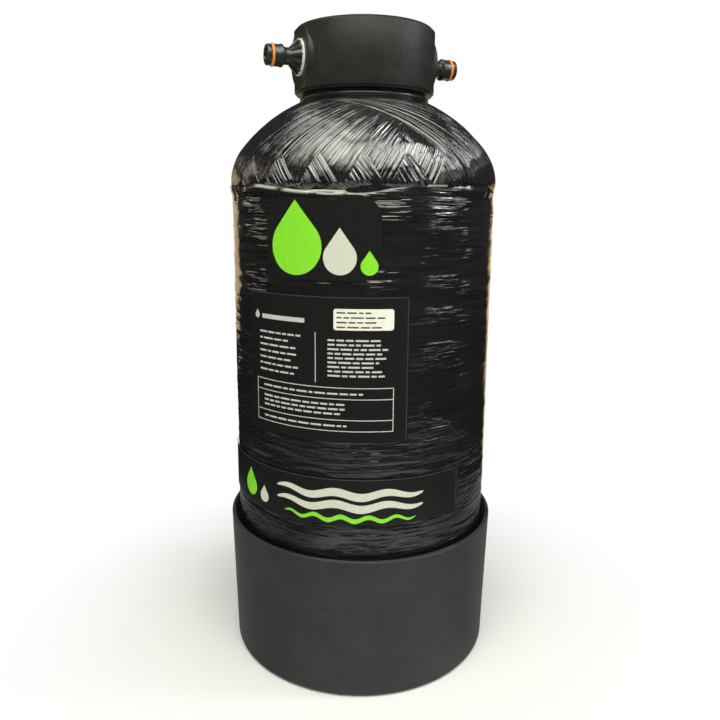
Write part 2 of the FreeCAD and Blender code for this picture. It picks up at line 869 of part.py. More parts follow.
def make_base_cup():
    floor = size.floor_rise + size.floor_wall
    foot = cup_foot_radius - size.cup_corner
    rim = size.cup_height - size.cup_rim_round
    inside_low = floor + size.cup_corner
    body = spun("base_cup", [
        (0, size.floor_rise),
        (foot - size.foot_width - size.floor_rise, size.floor_rise),
        (foot - size.foot_width, 0),
        (foot, 0),
        (cup_foot_radius, size.cup_corner, size.cup_corner),
        (cup_outside(rim), rim),
        (cup_outside(rim) - size.cup_rim_round, size.cup_height, size.cup_rim_round),
        (cup_outside(rim) - size.cup_wall, size.cup_height),
        (cup_outside(inside_low) - size.cup_wall, inside_low),
        (cup_outside(inside_low) - size.cup_wall - size.cup_corner, floor, -size.cup_corner),
        (0, floor),
    ])
    rib = thick_plate(body, "Pad", "XZ_Plane", cradle_rib_points(), size.rib_wall)
    repeated(body, rib, "Z_Axis", size.rib_count)
    return body


# Labels

def label_sector(body, inner, width, middle, height):
    """A curved film, centred on the body's X axis."""
    outer = inner + size.label_film
    sketch = new_sketch(body, "XZ_Plane")
    draw_outline(sketch, box_points(inner, middle - height / 2, outer, middle + height / 2))
    film = body.newObject("PartDesign::Revolution", body.Label + "_film")
    film.Profile = sketch
    film.ReferenceAxis = (sketch, ["V_Axis"])
    film.Midplane = True
    film.setExpression("Angle", (width / inner * (180 / math.pi)).formula)
    doc.recompute()


def round_corners(body, inner, width, middle, height, corner):
    """Cut a film to a rounded outline, seen from straight ahead."""
    half_view = inner * sine(width / inner / 2)
    frame = box_points(-width, middle - height, width, middle + height)
    sketch = new_sketch(body, "YZ_Plane")
    draw_outline(sketch, frame)
    draw_outline(sketch, rounded_box(half_view, height / 2, corner, middle))
    cut = body.newObject("PartDesign::Pocket", body.Label + "_corners")
    cut.Profile = sketch
    cut.Type = "ThroughAll"
    cut.Reversed = True
    doc.recompute()


def sine(radians):
    degrees = radians * (180 / math.pi)
    return Size(math.sin(radians.value), "sin(" + degrees.formula + ")")


def make_label(label, azimuth, middle, width, height, layer=0, corner=None):
    body = new_body(label)
    inner = size.shell_radius + size.label_gap + layer * (size.label_film + size.label_gap)
    label_sector(body, inner, width, middle, height)
    if corner:
        round_corners(body, inner, width, middle, height, corner)
    body.Placement.Rotation = FreeCAD.Rotation(FreeCAD.Vector(0, 0, 1), azimuth.value)
    body.setExpression("Placement.Rotation.Angle", azimuth.formula)
    return body


def make_labels():
    return [
        make_label("emblem_label", size.emblem_azimuth, emblem_z, size.emblem_width,
                   size.emblem_height, corner=size.emblem_corner),
        make_label("data_label", size.data_azimuth, data_z, size.data_width,
                   size.data_height),
        make_label("data_sticker", sticker_azimuth, sticker_z, size.sticker_width,
                   size.sticker_height, layer=1, corner=size.sticker_corner),
        make_label("band_label", size.band_azimuth, band_z, size.band_width,
                   size.band_height),
    ]


def make_pieces():
    """Build every piece of the vessel."""
    pieces = [
        make_base_cup(),
        make_wound_shell(),
        make_inner_liner(),
        make_neck_insert(),
        make_bottom_strainer_basket(),
        make_bottom_strainer_hub(),
        make_riser_tube(),
        make_resin_bed(),
        make_neck_o_ring(),
        make_head_body(),
        make_riser_o_ring(),
        make_top_strainer(),
    ]
    for name, side in (("inlet", -1), ("outlet", 1)):
        pieces.append(make_connector(name + "_connector", side))
        pieces.append(make_thread_seal(name + "_thread_seal", side))
        pieces.append(make_hose_seal(name + "_connector_o_ring", side))
    return pieces + make_labels()


def check(pieces):
    """Stop if any object failed or any piece has no valid solid."""
    for item in doc.Objects:
        if "Invalid" in item.State or "Error" in item.State:
            raise RuntimeError(item.Label + " failed: " + ", ".join(item.State))
    for piece in pieces:
        if piece.Shape.isNull() or not piece.Shape.isValid() or len(piece.Shape.Solids) != 1:
            raise RuntimeError(piece.Label + " is not one valid solid")


def write(pieces):
    os.makedirs("parts", exist_ok=True)
    for piece in pieces:
        piece.Shape.exportStep(os.path.join("parts", piece.Label + ".step"))
        box = piece.Shape.BoundBox
        print(piece.Label, round(piece.Shape.Volume), [round(edge, 2) for edge in (
            box.XMin, box.YMin, box.ZMin, box.XMax, box.YMax, box.ZMax)])


pieces = make_pieces()
doc.recompute()
check(pieces)
write(pieces)
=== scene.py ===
import json
import logging
import math
from dataclasses import dataclass, field
from enum import Enum

import bpy
import numpy as np
from mathutils import Matrix, Vector

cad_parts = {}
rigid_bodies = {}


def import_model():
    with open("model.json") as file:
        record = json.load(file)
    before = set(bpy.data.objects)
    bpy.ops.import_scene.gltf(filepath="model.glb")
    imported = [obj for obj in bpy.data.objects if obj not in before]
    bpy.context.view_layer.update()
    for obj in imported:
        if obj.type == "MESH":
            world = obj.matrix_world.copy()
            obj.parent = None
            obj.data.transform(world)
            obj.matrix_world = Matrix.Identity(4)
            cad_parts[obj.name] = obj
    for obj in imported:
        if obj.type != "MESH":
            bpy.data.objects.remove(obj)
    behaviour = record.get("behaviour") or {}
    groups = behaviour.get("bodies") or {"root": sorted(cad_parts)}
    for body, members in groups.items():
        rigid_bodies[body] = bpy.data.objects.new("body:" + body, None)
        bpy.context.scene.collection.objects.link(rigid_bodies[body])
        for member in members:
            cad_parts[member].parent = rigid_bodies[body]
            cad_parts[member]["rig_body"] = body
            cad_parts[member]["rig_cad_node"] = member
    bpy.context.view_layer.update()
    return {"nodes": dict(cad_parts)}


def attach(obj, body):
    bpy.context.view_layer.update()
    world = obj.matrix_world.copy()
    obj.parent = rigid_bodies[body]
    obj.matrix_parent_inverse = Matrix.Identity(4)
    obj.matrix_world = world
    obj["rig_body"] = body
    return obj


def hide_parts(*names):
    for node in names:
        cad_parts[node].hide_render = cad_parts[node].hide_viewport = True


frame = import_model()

MM = 0.001
FULL_TURN = 2 * math.pi
TOUCHING = 0.001 * MM
SEAM_REACH = 0.002 * MM
SMOOTH_LIMIT = 40.0
ROLLED_SMOOTH_LIMIT = 60.0
SEAM_SIDE = 68.0

Colour = tuple[float, float, float]
Triple = tuple[float, float, float]
Span = tuple[float, float]
Stop = tuple[float, float]
Socket = bpy.types.NodeSocket

WHITE: Colour = (1.0, 1.0, 1.0)

log = logging.getLogger("resin_vessel")


class Ray(Enum):
    """Which rays a light path test picks out."""

    CAMERA = "Is Camera Ray"
    GLOSSY = "Is Glossy Ray"
    TRANSMISSION = "Is Transmission Ray"


class Body(Enum):
    """The moving bodies that new pieces ride on."""

    VESSEL = "vessel"
    HEAD = "head"


class Family(Enum):
    """The two crossing sets of strands on the dome."""

    RISING_RIGHT = "strand_right"
    RISING_LEFT = "strand_left"


# Selecting, copying and finishing pieces


def deselect_all() -> None:
    """Leave edit mode and clear the selection."""
    if bpy.context.object and bpy.context.object.mode != "OBJECT":
        bpy.ops.object.mode_set(mode="OBJECT")
    bpy.ops.object.select_all(action="DESELECT")


def select_only(*pieces: bpy.types.Object) -> None:
    """Select these pieces and nothing else.

    Args:
        pieces: the pieces, of which the first is made active.
    """
    deselect_all()
    for piece in pieces:
        piece.select_set(True)
    bpy.context.view_layer.objects.active = pieces[0]


def named(name: str) -> bpy.types.Object:
    """Name the active object and its mesh.

    Args:
        name: the name for both.

    Returns:
        The object.
    """
    piece = bpy.context.object
    piece.name = name
    piece.data.name = name
    return piece


def settle(piece: bpy.types.Object) -> bpy.types.Object:
    """Put a piece's place, turn and scale into its mesh.

    Args:
        piece: the piece.

    Returns:
        The same piece.
    """
    select_only(piece)
    bpy.ops.object.transform_apply(location=True, rotation=True, scale=True)
    return piece


def positions(piece: bpy.types.Object) -> np.ndarray:
    """Read the places of a piece's points.

    Args:
        piece: the piece.

    Returns:
        One row of x, y and z for each point, in metres.
    """
    flat = np.empty(len(piece.data.vertices) * 3)
    piece.data.vertices.foreach_get("co", flat)
    return flat.reshape(-1, 3)


def move_points(piece: bpy.types.Object, places: np.ndarray) -> None:
    """Set the places of a piece's points."""
    piece.data.vertices.foreach_set("co", places.astype(np.float32).ravel())
    piece.data.update()


def edit_all(piece: bpy.types.Object) -> None:
    """Enter edit mode with all of a piece selected.

    Args:
        piece: the piece to edit.
    """
    select_only(piece)
    bpy.ops.object.mode_set(mode="EDIT")
    bpy.ops.mesh.select_all(action="SELECT")


def weld(piece: bpy.types.Object, reach: float = TOUCHING) -> None:
    """Join points that lie together.

    Args:
        piece: the piece to close up.
        reach: points nearer than this are joined, in metres.
    """
    edit_all(piece)
    bpy.ops.mesh.remove_doubles(threshold=reach)
    bpy.ops.object.mode_set(mode="OBJECT")


def face_outwards(piece: bpy.types.Object) -> None:
    """Turn every face of a closed piece outwards.

    Args:
        piece: the piece to put right.
    """
    edit_all(piece)
    bpy.ops.mesh.normals_make_consistent(inside=False)
    bpy.ops.object.mode_set(mode="OBJECT")


def smooth(piece: bpy.types.Object, limit: float = SMOOTH_LIMIT) -> None:
    """Smooth a piece's faces, save where they meet at more than this many degrees."""
    select_only(piece)
    bpy.ops.object.shade_smooth_by_angle(angle=math.radians(limit))


def soften_edges(piece: bpy.types.Object, width: float, limit: float = 35.0,
                 segments: int = 2) -> None:
    """Round a piece's sharp edges and smooth its faces.

    Args:
        piece: the piece to finish.
        width: width of the rounding, in metres.
        limit: edges sharper than this many degrees are rounded.
        segments: steps across the rounding.
    """
    select_only(piece)
    bevel = piece.modifiers.new("soft_edges", "BEVEL")
    bevel.width = width
    bevel.segments = segments
    bevel.limit_method = "ANGLE"
    bevel.angle_limit = math.radians(limit)
    bevel.use_clamp_overlap = True
    bpy.ops.object.modifier_apply(modifier=bevel.name)
    smooth(piece)


def cad_copy(node: str, name: str) -> bpy.types.Object:
    """Make a new piece from a CAD node's mesh, with its points merged.

    Args:
        node: the CAD node.
        name: name of the new piece.

    Returns:
        The new piece.
    """
    deselect_all()
    source = frame["nodes"][node]
    source.select_set(True)
    bpy.context.view_layer.objects.active = source
    bpy.ops.object.duplicate()
    piece = named(name)
    piece.parent = None
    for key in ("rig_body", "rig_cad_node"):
        if key in piece:
            del piece[key]
    piece.data.materials.clear()
    weld(piece, SEAM_REACH)
    return piece


def place_piece(piece: bpy.types.Object, body: Body, slot: str, material: bpy.types.Material,
                *nodes: str) -> None:
    """Dress a finished piece and hand it to the frame.

    Args:
        piece: the finished piece.
        body: the moving body that it rides on.
        slot: not used.
        material: its finish.
        nodes: the CAD nodes that it stands for.
    """
    piece.data.materials.clear()
    piece.data.materials.append(material)
    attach(piece, body.value)
    if nodes:
        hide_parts(*nodes)
    log.info("%s: %d faces", piece.name, len(piece.data.polygons))


def dress_node(node: str, material: bpy.types.Material) -> None:
    """Give a CAD node that stays as it is its finish.

    Args:
        node: the CAD node.
        material: its finish.
    """
    mesh = frame["nodes"][node].data
    mesh.materials.clear()
    mesh.materials.append(material)
    log.info("%s: CAD node dressed", node)


# Finishes


class Nodes:
    """Adds and joins the nodes of one tree."""

    def __init__(self, tree: bpy.types.NodeTree) -> None:
        """Empty a node tree and keep it."""
        self.tree = tree
        self.tree.nodes.clear()

    def node(self, kind: str, **settings: object) -> bpy.types.Node:
        """Add a node.

        Args:
            kind: the node's type.
            settings: values of the node's own properties.

        Returns:
            The new node.
        """
        added = self.tree.nodes.new(kind)
        for key, value in settings.items():
            setattr(added, key, value)
        return added

    def link(self, source: Socket, target: Socket) -> None:
        """Join two sockets."""
        self.tree.links.new(source, target)

    def math(self, operation: str, first: Socket | float, second: Socket | float = 0.0) -> Socket:
        """Work out an operation on two readings.

        Args:
            operation: name of the operation.
            first: a reading or a number.
            second: a reading or a number.

        Returns:
            The result.
        """
        step = self.node("ShaderNodeMath", operation=operation)
        for socket, value in zip(step.inputs, (first, second)):
            if isinstance(value, Socket):
                self.link(value, socket)
            else:
                socket.default_value = value
        return step.outputs[0]

    def blend(self, first: tuple[Socket, float], second: tuple[Socket, float]) -> Socket:
        """Return the sum of two readings, each times its weight."""
        parts = [self.math("MULTIPLY", reading, weight) for reading, weight in (first, second)]
        return self.math("ADD", *parts)

    def vector_math(self, operation: str, vector: Socket,
                    amount: Triple | None = None) -> bpy.types.Node:
        """Work out an operation on a vector.

        Args:
            operation: name of the operation.
            vector: the vector.
            amount: a second, fixed vector, where the operation has one.

        Returns:
            The node, which gives a vector or a value.
        """
        step = self.node("ShaderNodeVectorMath", operation=operation)
        self.link(vector, step.inputs[0])
        if amount:
            step.inputs[1].default_value = amount
        return step

    def facing(self, direction: Socket, azimuth: float) -> Socket:
        """Work out how nearly a direction points to one side.

        Args:
            direction: a vector of length 1.
            azimuth: the side, in degrees round the axis.

        Returns:
            1 straight towards the side, 0 across and -1 away from it.
        """
        turn = math.radians(azimuth)
        side = (math.cos(turn), math.sin(turn), 0.0)
        return self.vector_math("DOT_PRODUCT", direction, side).outputs["Value"]

    def spread(self, value: Socket, source: Span, target: Span = (0.0, 1.0)) -> Socket:
        """Map a reading from one span to another, and hold it at the ends.

        Args:
            value: the reading.
            source: where the reading's own span starts and ends.
            target: what the result is at those two.

        Returns:
            The mapped reading.
        """
        remap = self.node("ShaderNodeMapRange")
        for name, number in zip(("From Min", "From Max", "To Min", "To Max"), source + target):
            remap.inputs[name].default_value = number
        self.link(value, remap.inputs["Value"])
        return remap.outputs[0]

    def ramp(self, factor: Socket, stops: list[tuple[float, Colour]]) -> Socket:
        """Turn a reading into a colour.

        Args:
            factor: the reading.
            stops: readings, each with its colour.

        Returns:
            The colour, blended from one stop to the next.
        """
        scale = self.node("ShaderNodeValToRGB")
        elements = scale.color_ramp.elements
        while len(elements) < len(stops):
            elements.new(0.5)
        for element, (position, colour) in zip(elements, stops):
            element.position = position
            element.color = (*colour, 1.0)
        self.link(factor, scale.inputs[0])
        return scale.outputs[0]

    def light(self, kind: str, colour: Colour = WHITE) -> bpy.types.Node:
        """Add a shader that gives off light.

        Args:
            kind: the node's type.
            colour: colour of the light.

        Returns:
            The new node.
        """
        shader = self.node(kind)
        shader.inputs["Color"].default_value = (*colour, 1.0)
        return shader

    def cover(self, shader: Socket, layers: list[tuple[Socket, bpy.types.Node]]) -> Socket:
        """Lay shaders over another one.

        Args:
            shader: the shader underneath.
            layers: from the lowest up, where each shows and the shader itself.

        Returns:
            The mixed shader.
        """
        for factor, layer in layers:
            mix = self.node("ShaderNodeMixShader")
            for socket, source in zip(mix.inputs, (factor, shader, layer.outputs[0])):
                self.link(source, socket)
            shader = mix.outputs[0]
        return shader


class Graph(Nodes):
    """Builds the nodes of one surface finish."""

    def __init__(self, name: str) -> None:
        """Start a material with a shader and an output.

        Args:
            name: name of the material.
        """
        self.material = bpy.data.materials.new(name)
        self.material.use_nodes = True
        super().__init__(self.material.node_tree)
        self.shader = self.node("ShaderNodeBsdfPrincipled")
        self.output = self.node("ShaderNodeOutputMaterial")
        self.link(self.shader.outputs[0], self.output.inputs["Surface"])

    def constant(self, **values: float) -> None:
        """Set numbers on the shader's own sockets, named with underscores for spaces."""
        for key, value in values.items():
            self.shader.inputs[key.replace("_", " ")].default_value = value

    def place(self, scale: Triple = (1.0, 1.0, 1.0)) -> Socket:
        """Read the piece's own coordinates.

        Args:
            scale: what they are multiplied by along each axis.

        Returns:
            The scaled coordinates.
        """
        coordinates = self.node("ShaderNodeTexCoord")
        mapping = self.node("ShaderNodeMapping")
        mapping.inputs["Scale"].default_value = scale
        self.link(coordinates.outputs["Object"], mapping.inputs["Vector"])
        return mapping.outputs[0]

    def attribute(self, name: str, output: str) -> Socket:
        """Return a value stored on the piece's points."""
        return self.node("ShaderNodeAttribute", attribute_name=name).outputs[output]

    def noise(self, vector: Socket, scale: float = 1.0, detail: float = 2.0,
              rough: float = 0.5) -> Socket:
        """Draw a noise pattern.

        Args:
            vector: the coordinates that it is drawn on.
            scale: how many waves it has in one unit of them.
            detail: how many finer waves are added.
            rough: how strong those are.

        Returns:
            A reading about one half.
        """
        pattern = self.node("ShaderNodeTexNoise")
        for name, number in (("Scale", scale), ("Detail", detail), ("Roughness", rough)):
            pattern.inputs[name].default_value = number
        self.link(vector, pattern.inputs["Vector"])
        return pattern.outputs[0]

    def pick(self, factor: Socket, first: Socket, second: Socket) -> Socket:
        """Choose between two readings.

        Args:
            factor: what the choice depends on.
            first: the reading where the factor is 0.
            second: the reading where the factor is 1.

        Returns:
            The chosen reading.
        """
        mix = self.node("ShaderNodeMix", data_type="FLOAT")
        self.link(factor, mix.inputs[0])
        self.link(first, mix.inputs[2])
        self.link(second, mix.inputs[3])
        return mix.outputs[0]

    def colours(self, factor: Socket, stops: list[tuple[float, Colour]]) -> None:
        """Colour the surface by a reading, from one stop to the next."""
        self.link(self.ramp(factor, stops), self.shader.inputs["Base Color"])

    def shades(self, factor: Socket, colour: Colour, *stops: Stop) -> None:
        """Colour the surface in shades of one colour, each stop a reading and a brightness."""
        self.colours(factor, [(reading, shade(colour, bright)) for reading, bright in stops])

    def tint(self, mask: Socket, colour: Colour) -> None:
        """Lay a colour over the surface.

        Args:
            mask: 1 where the colour covers the surface and 0 where it doesn't.
            colour: the colour.
        """
        target = self.shader.inputs["Base Color"]
        mix = self.node("ShaderNodeMix", data_type="RGBA")
        self.link(mask, mix.inputs[0])
        self.link(target.links[0].from_socket, mix.inputs[6])
        mix.inputs[7].default_value = (*colour, 1.0)
        self.link(mix.outputs[2], target)

    def raise_by(self, height: Socket, distance: float) -> None:
        """Give the surface and its coat relief.

        Args:
            height: reading of the height.
            distance: how high a full reading is, in metres.
        """
        bump = self.node("ShaderNodeBump")
        bump.inputs["Distance"].default_value = distance
        bump.inputs["Strength"].default_value = 1.0
        self.link(height, bump.inputs["Height"])
        for socket in ("Normal", "Coat Normal"):
            self.link(bump.outputs[0], self.shader.inputs[socket])


def shade(colour: Colour, factor: float) -> Colour:
    """Return a colour made darker or lighter."""
    return tuple(min(channel * factor, 1.0) for channel in colour)


@dataclass(frozen=True)
class DomeResin:
    """Gloss black resin over the crossing strands of the dome."""

    name: str = "dome_resin"
    colour: Colour = (0.010, 0.010, 0.010)
    roughness: Span = (0.25, 0.08)
    relief: float = 3.6 * MM
    # Strand colour: hollows darker and crests lighter, partly the paler glass of the strands and
    # partly painted shade in the hollows and painted highlight on the crests.
    hollow_tone_and_shade: Stop = (0.35, 0.5)
    crest_tone_and_highlight: Stop = (0.75, 1.8)
    crest_edge: Span = (0.4, 0.56)
    coarse: float = 0.36
    coarse_weight: float = 0.6
    fine: float = 0.85
    fine_weight: float = 0.4
    crowding: float = 0.42
    crowded: Span = (402 * MM, 427 * MM)
    pools: Triple = (30.0, 30.0, 45.0)
    pool_edge: Span = (0.40, 0.60)
    pool_depth: Span = (0.6, 0.95)
    neck_calm: Span = (426 * MM, 437 * MM)
    neck_depth: float = 0.06
    foot_calm: Span = (380.8 * MM, 385 * MM)
    foot_depth: float = 0.02
    foot_tears: Triple = (70.0, 70.0, 12.0)
    tear_height: float = 16 * MM
    coat_roughness: float = 0.11
    coat_index: float = 2.2

    def strands(self, graph: Graph, height: Socket) -> Socket:
        """Draw the strands along whichever family lies on top.

        Args:
            graph: the finish that is being built.
            height: height over the floor.

        Returns:
            A reading that is high on a strand and low between two.
        """
        crowded = graph.spread(height, self.crowded)
        lines = []
        for family in Family:
            along = graph.attribute(family.value, "Vector")
            sets = []
            for scale in (1.0, self.crowding):
                coarse = graph.noise(along, self.coarse * scale, detail=1.0)
                fine = graph.noise(along, self.fine * scale, rough=0.6)
                sets.append(graph.blend((coarse, self.coarse_weight), (fine, self.fine_weight)))
            lines.append(graph.pick(crowded, *sets))
        top = graph.math("GREATER_THAN", graph.attribute("top_family", "Fac"), 0.5)
        return graph.pick(top, *lines)

    def depth(self, graph: Graph, height: Socket) -> Socket:
        """Work out how far the strands stand out: less in pools, at the neck and at the foot.

        Args:
            graph: the finish that is being built.
            height: height over the floor.

        Returns:
            A reading of 0 to 1.
        """
        pools = graph.spread(graph.noise(graph.place(self.pools)), self.pool_edge,
                             self.pool_depth)
        neck = graph.spread(height, self.neck_calm, (1.0, self.neck_depth))
        tears = graph.math("MULTIPLY", graph.noise(graph.place(self.foot_tears)),
                           self.tear_height)
        foot = graph.spread(graph.math("ADD", height, tears), self.foot_calm,
                            (self.foot_depth, 1.0))
        return graph.math("MULTIPLY", graph.math("MULTIPLY", pools, neck), foot)

    def build(self) -> bpy.types.Material:
        """Build the finish.

        Returns:
            The material.
        """
        graph = Graph(self.name)
        place = graph.node("ShaderNodeSeparateXYZ")
        graph.link(graph.place(), place.inputs[0])
        height = place.outputs["Z"]
        strands = self.strands(graph, height)
        graph.raise_by(graph.math("MULTIPLY", strands, self.depth(graph, height)), self.relief)
        graph.link(graph.spread(strands, self.crest_edge, self.roughness),
                   graph.shader.inputs["Roughness"])
        # Colour follows the strands' relief: painted shade in the hollows and painted highlight on
        # the crests, over the paler glass of the strands themselves.
        graph.shades(strands, self.colour, self.hollow_tone_and_shade, self.crest_tone_and_highlight)
        graph.constant(Coat_Weight=1.0, Coat_Roughness=self.coat_roughness,
                       Coat_IOR=self.coat_index, Specular_IOR_Level=1.0)
        return graph.material


@dataclass(frozen=True)
class HoopResin:
    """Gloss black resin over strands wound round and round the shell's side."""

    name: str = "hoop_resin"
    colour: Colour = (0.010, 0.010, 0.010)
    # Pale colour painted on the ledge's bead: a painted highlight where it faces the top light.
    ledge_highlight_colour: Colour = (0.55, 0.54, 0.44)
    roughness: float = 0.13
    relief: float = 1.1 * MM
    # Strand colour: hollows darker and crests lighter, partly the paler glass of the strands and
    # partly painted shade in the hollows and painted highlight on the crests.
    hollow_tone_and_shade: Stop = (0.3, 0.6)
    crest_tone_and_highlight: Stop = (0.8, 1.6)
    strands: Triple = (26.0, 26.0, 640.0)
    strand_weight: float = 0.6
    drops: Triple = (50.0, 50.0, 340.0)
    drop_weight: float = 0.9
    calm: Triple = (14.0, 14.0, 50.0)
    calm_edge: Span = (0.44, 0.58)
    calm_depth: Span = (0.25, 1.0)
    coat_roughness: float = 0.08
    coat_index: float = 1.7
    specular: float = 0.8

    def build(self) -> bpy.types.Material:
        """Build the finish, with fine lines round the shell and calm places between.

        Returns:
            The material.
        """
        graph = Graph(self.name)
        strands = graph.noise(graph.place(self.strands), rough=0.6)
        drops = graph.noise(graph.place(self.drops), detail=1.0)
        depth = graph.spread(graph.noise(graph.place(self.calm)), self.calm_edge,
                             self.calm_depth)
        height = graph.blend((strands, self.strand_weight), (drops, self.drop_weight))
        graph.raise_by(graph.math("MULTIPLY", height, depth), self.relief)
        # Colour follows the strands' noise: painted shade in the hollows and painted highlight on the
        # crests, over the paler glass of the strands themselves.
        graph.shades(strands, self.colour, self.hollow_tone_and_shade, self.crest_tone_and_highlight)
        # Painted highlight: pale colour laid on the ledge's bead.
        graph.tint(graph.attribute("painted_ledge_highlight", "Fac"), self.ledge_highlight_colour)
        graph.constant(Roughness=self.roughness, Coat_Weight=1.0,
                       Coat_Roughness=self.coat_roughness, Coat_IOR=self.coat_index,
                       Specular_IOR_Level=self.specular)
        return graph.material


@dataclass(frozen=True)
class MouldedPlastic:
    """Moulded plastic with a fine grain, faint flow marks and a touch of wear."""

    name: str
    colour: Colour
    roughness: float = 0.4
    grain: float = 900.0
    relief: float = 0.02 * MM
    mottling: float = 0.18
    specular: float = 0.5
    sheen: float = 0.0
    sheen_roughness: float = 0.35
    detail: float = 3.0
    grain_weight: float = 0.45
    marks: float = 28.0
    marks_stretch: Triple = (1.0, 1.0, 1.6)
    marks_weight: float = 0.55
    mottle_edge: Span = (0.36, 0.64)
    wear: float = 0.12
    wear_edge: Span = (0.3, 0.7)

    def build(self) -> bpy.types.Material:
        """Build the finish.

        Returns:
            The material.
        """
        graph = Graph(self.name)
        grain = graph.noise(graph.place(), self.grain, self.detail, rough=0.6)
        marks = graph.noise(graph.place(self.marks_stretch), self.marks, self.detail, rough=0.55)
        mottled = graph.blend((grain, self.grain_weight), (marks, self.marks_weight))
        darker, lighter = self.mottle_edge
        graph.shades(mottled, self.colour, (darker, 1 - self.mottling),
                     (lighter, 1 + self.mottling))
        worn = (self.roughness * (1 - self.wear), self.roughness * (1 + self.wear))
        graph.link(graph.spread(marks, self.wear_edge, worn), graph.shader.inputs["Roughness"])
        graph.raise_by(grain, self.relief)
        graph.constant(Specular_IOR_Level=self.specular, Sheen_Weight=self.sheen,
                       Sheen_Roughness=self.sheen_roughness)
        return graph.material


@dataclass(frozen=True)
class SealRubber:
    """Moulded rubber with a faint bloom."""

    name: str
    colour: Colour
    roughness: float = 0.35
    grain: float = 420.0
    relief: float = 0.01 * MM
    dark_shade: Stop = (0.3, 0.85)
    light_shade: Stop = (0.7, 1.1)

    def build(self) -> bpy.types.Material:
        """Build the finish.

        Returns:
            The material.
        """
        graph = Graph(self.name)
        bloom = graph.noise(graph.place(), self.grain, detail=3.0)
        graph.shades(bloom, self.colour, self.dark_shade, self.light_shade)
        graph.raise_by(bloom, self.relief)
        graph.constant(Roughness=self.roughness)
        return graph.material


@dataclass(frozen=True)
class PrintedFilm:
    """Thin film over the winding, whose ridges show through it as faint waves."""

    name: str
    colour: Colour
    roughness: float = 0.3
    relief: float = 0.05 * MM
    specular: float = 0.5
    ridges: Triple = (22.0, 22.0, 330.0)
    specks: float = 700.0
    dark_shade: Stop = (0.35, 0.93)
    light_shade: Stop = (0.7, 1.05)

    def build(self) -> bpy.types.Material:
        """Build the finish.

        Returns:
            The material.
        """
        graph = Graph(self.name)
        specks = graph.noise(graph.place(), self.specks)
        graph.shades(specks, self.colour, self.dark_shade, self.light_shade)
        graph.raise_by(graph.noise(graph.place(self.ridges)), self.relief)
        graph.constant(Roughness=self.roughness, Specular_IOR_Level=self.specular)
        return graph.material


@dataclass(frozen=True)
class BeadBed:
    """Packed amber resin beads."""

    name: str = "resin_beads"
    colour: Colour = (0.46, 0.22, 0.05)
    roughness: float = 0.35
    relief: float = 0.25 * MM
    beads: float = 1400.0
    bead_shades: tuple[Stop, ...] = ((0.0, 0.5), (0.6, 1.0), (1.0, 1.7))

    def build(self) -> bpy.types.Material:
        """Build the finish, with each bead a rounded cell of its own shade.

        Returns:
            The material.
        """
        graph = Graph(self.name)
        cells = graph.node("ShaderNodeTexVoronoi")
        cells.inputs["Scale"].default_value = self.beads
        graph.link(graph.place(), cells.inputs["Vector"])
        tone = graph.node("ShaderNodeSeparateColor")
        graph.link(cells.outputs["Color"], tone.inputs[0])
        graph.shades(tone.outputs[0], self.colour, *self.bead_shades)
        graph.raise_by(graph.math("SUBTRACT", 1.0, cells.outputs["Distance"]), self.relief)
        graph.constant(Roughness=self.roughness)
        return graph.material


@dataclass(frozen=True)
class Palette:
    """Every finish of the vessel."""

    dome: DomeResin = DomeResin()
    hoops: HoopResin = HoopResin()
    cup: MouldedPlastic = MouldedPlastic(
        "cup_plastic", (0.034, 0.034, 0.035), 0.42, grain=700.0, relief=0.05 * MM, mottling=0.2,
        specular=0.4, sheen=0.07)
    head: MouldedPlastic = MouldedPlastic(
        "head_plastic", (0.021, 0.022, 0.019), 0.4, grain=1200.0, relief=0.22 * MM, mottling=0.4,
        specular=0.45)
    connector: MouldedPlastic = MouldedPlastic(
        "connector_plastic", (0.024, 0.029, 0.026), 0.26, relief=0.015 * MM, mottling=0.15,
        specular=0.9)
    collar: MouldedPlastic = MouldedPlastic(
        "collar_plastic", (0.02, 0.022, 0.021), 0.3, grain=500.0, relief=0.1 * MM, mottling=0.25,
        specular=0.8)
    liner: MouldedPlastic = MouldedPlastic("liner_plastic", (0.75, 0.76, 0.72), 0.45)
    inner: MouldedPlastic = MouldedPlastic("inner_plastic", (0.8, 0.8, 0.77), 0.4)
    thread_seal: MouldedPlastic = MouldedPlastic(
        "thread_seal_ring", (0.95, 0.95, 0.86), 0.45, relief=0.01 * MM, mottling=0.05)
    hose_seal: SealRubber = SealRubber("hose_seal_rubber", (0.92, 0.28, 0.05), 0.32)
    neck_seal: SealRubber = SealRubber("neck_seal_rubber", (0.012, 0.012, 0.012), 0.4)
    film: PrintedFilm = PrintedFilm("label_film", (0.012, 0.012, 0.012), 0.28)
    paper: PrintedFilm = PrintedFilm(
        "sticker_paper", (0.83, 0.82, 0.71), 0.6, relief=0.03 * MM, specular=0.3)
    green: PrintedFilm = PrintedFilm("green_ink", (0.242, 0.752, 0.022), 0.38)
    pale: PrintedFilm = PrintedFilm("pale_ink", (0.63, 0.66, 0.54), 0.38)
    white: PrintedFilm = PrintedFilm("white_ink", (0.55, 0.56, 0.53), 0.4)
    # Grey ink for the sticker's bars, also used for painted highlights along the films' cut edges.
    grey: PrintedFilm = PrintedFilm("grey_ink_and_edge_highlight", (0.08, 0.08, 0.075), 0.5)
    beads: BeadBed = BeadBed()


# Wound shell


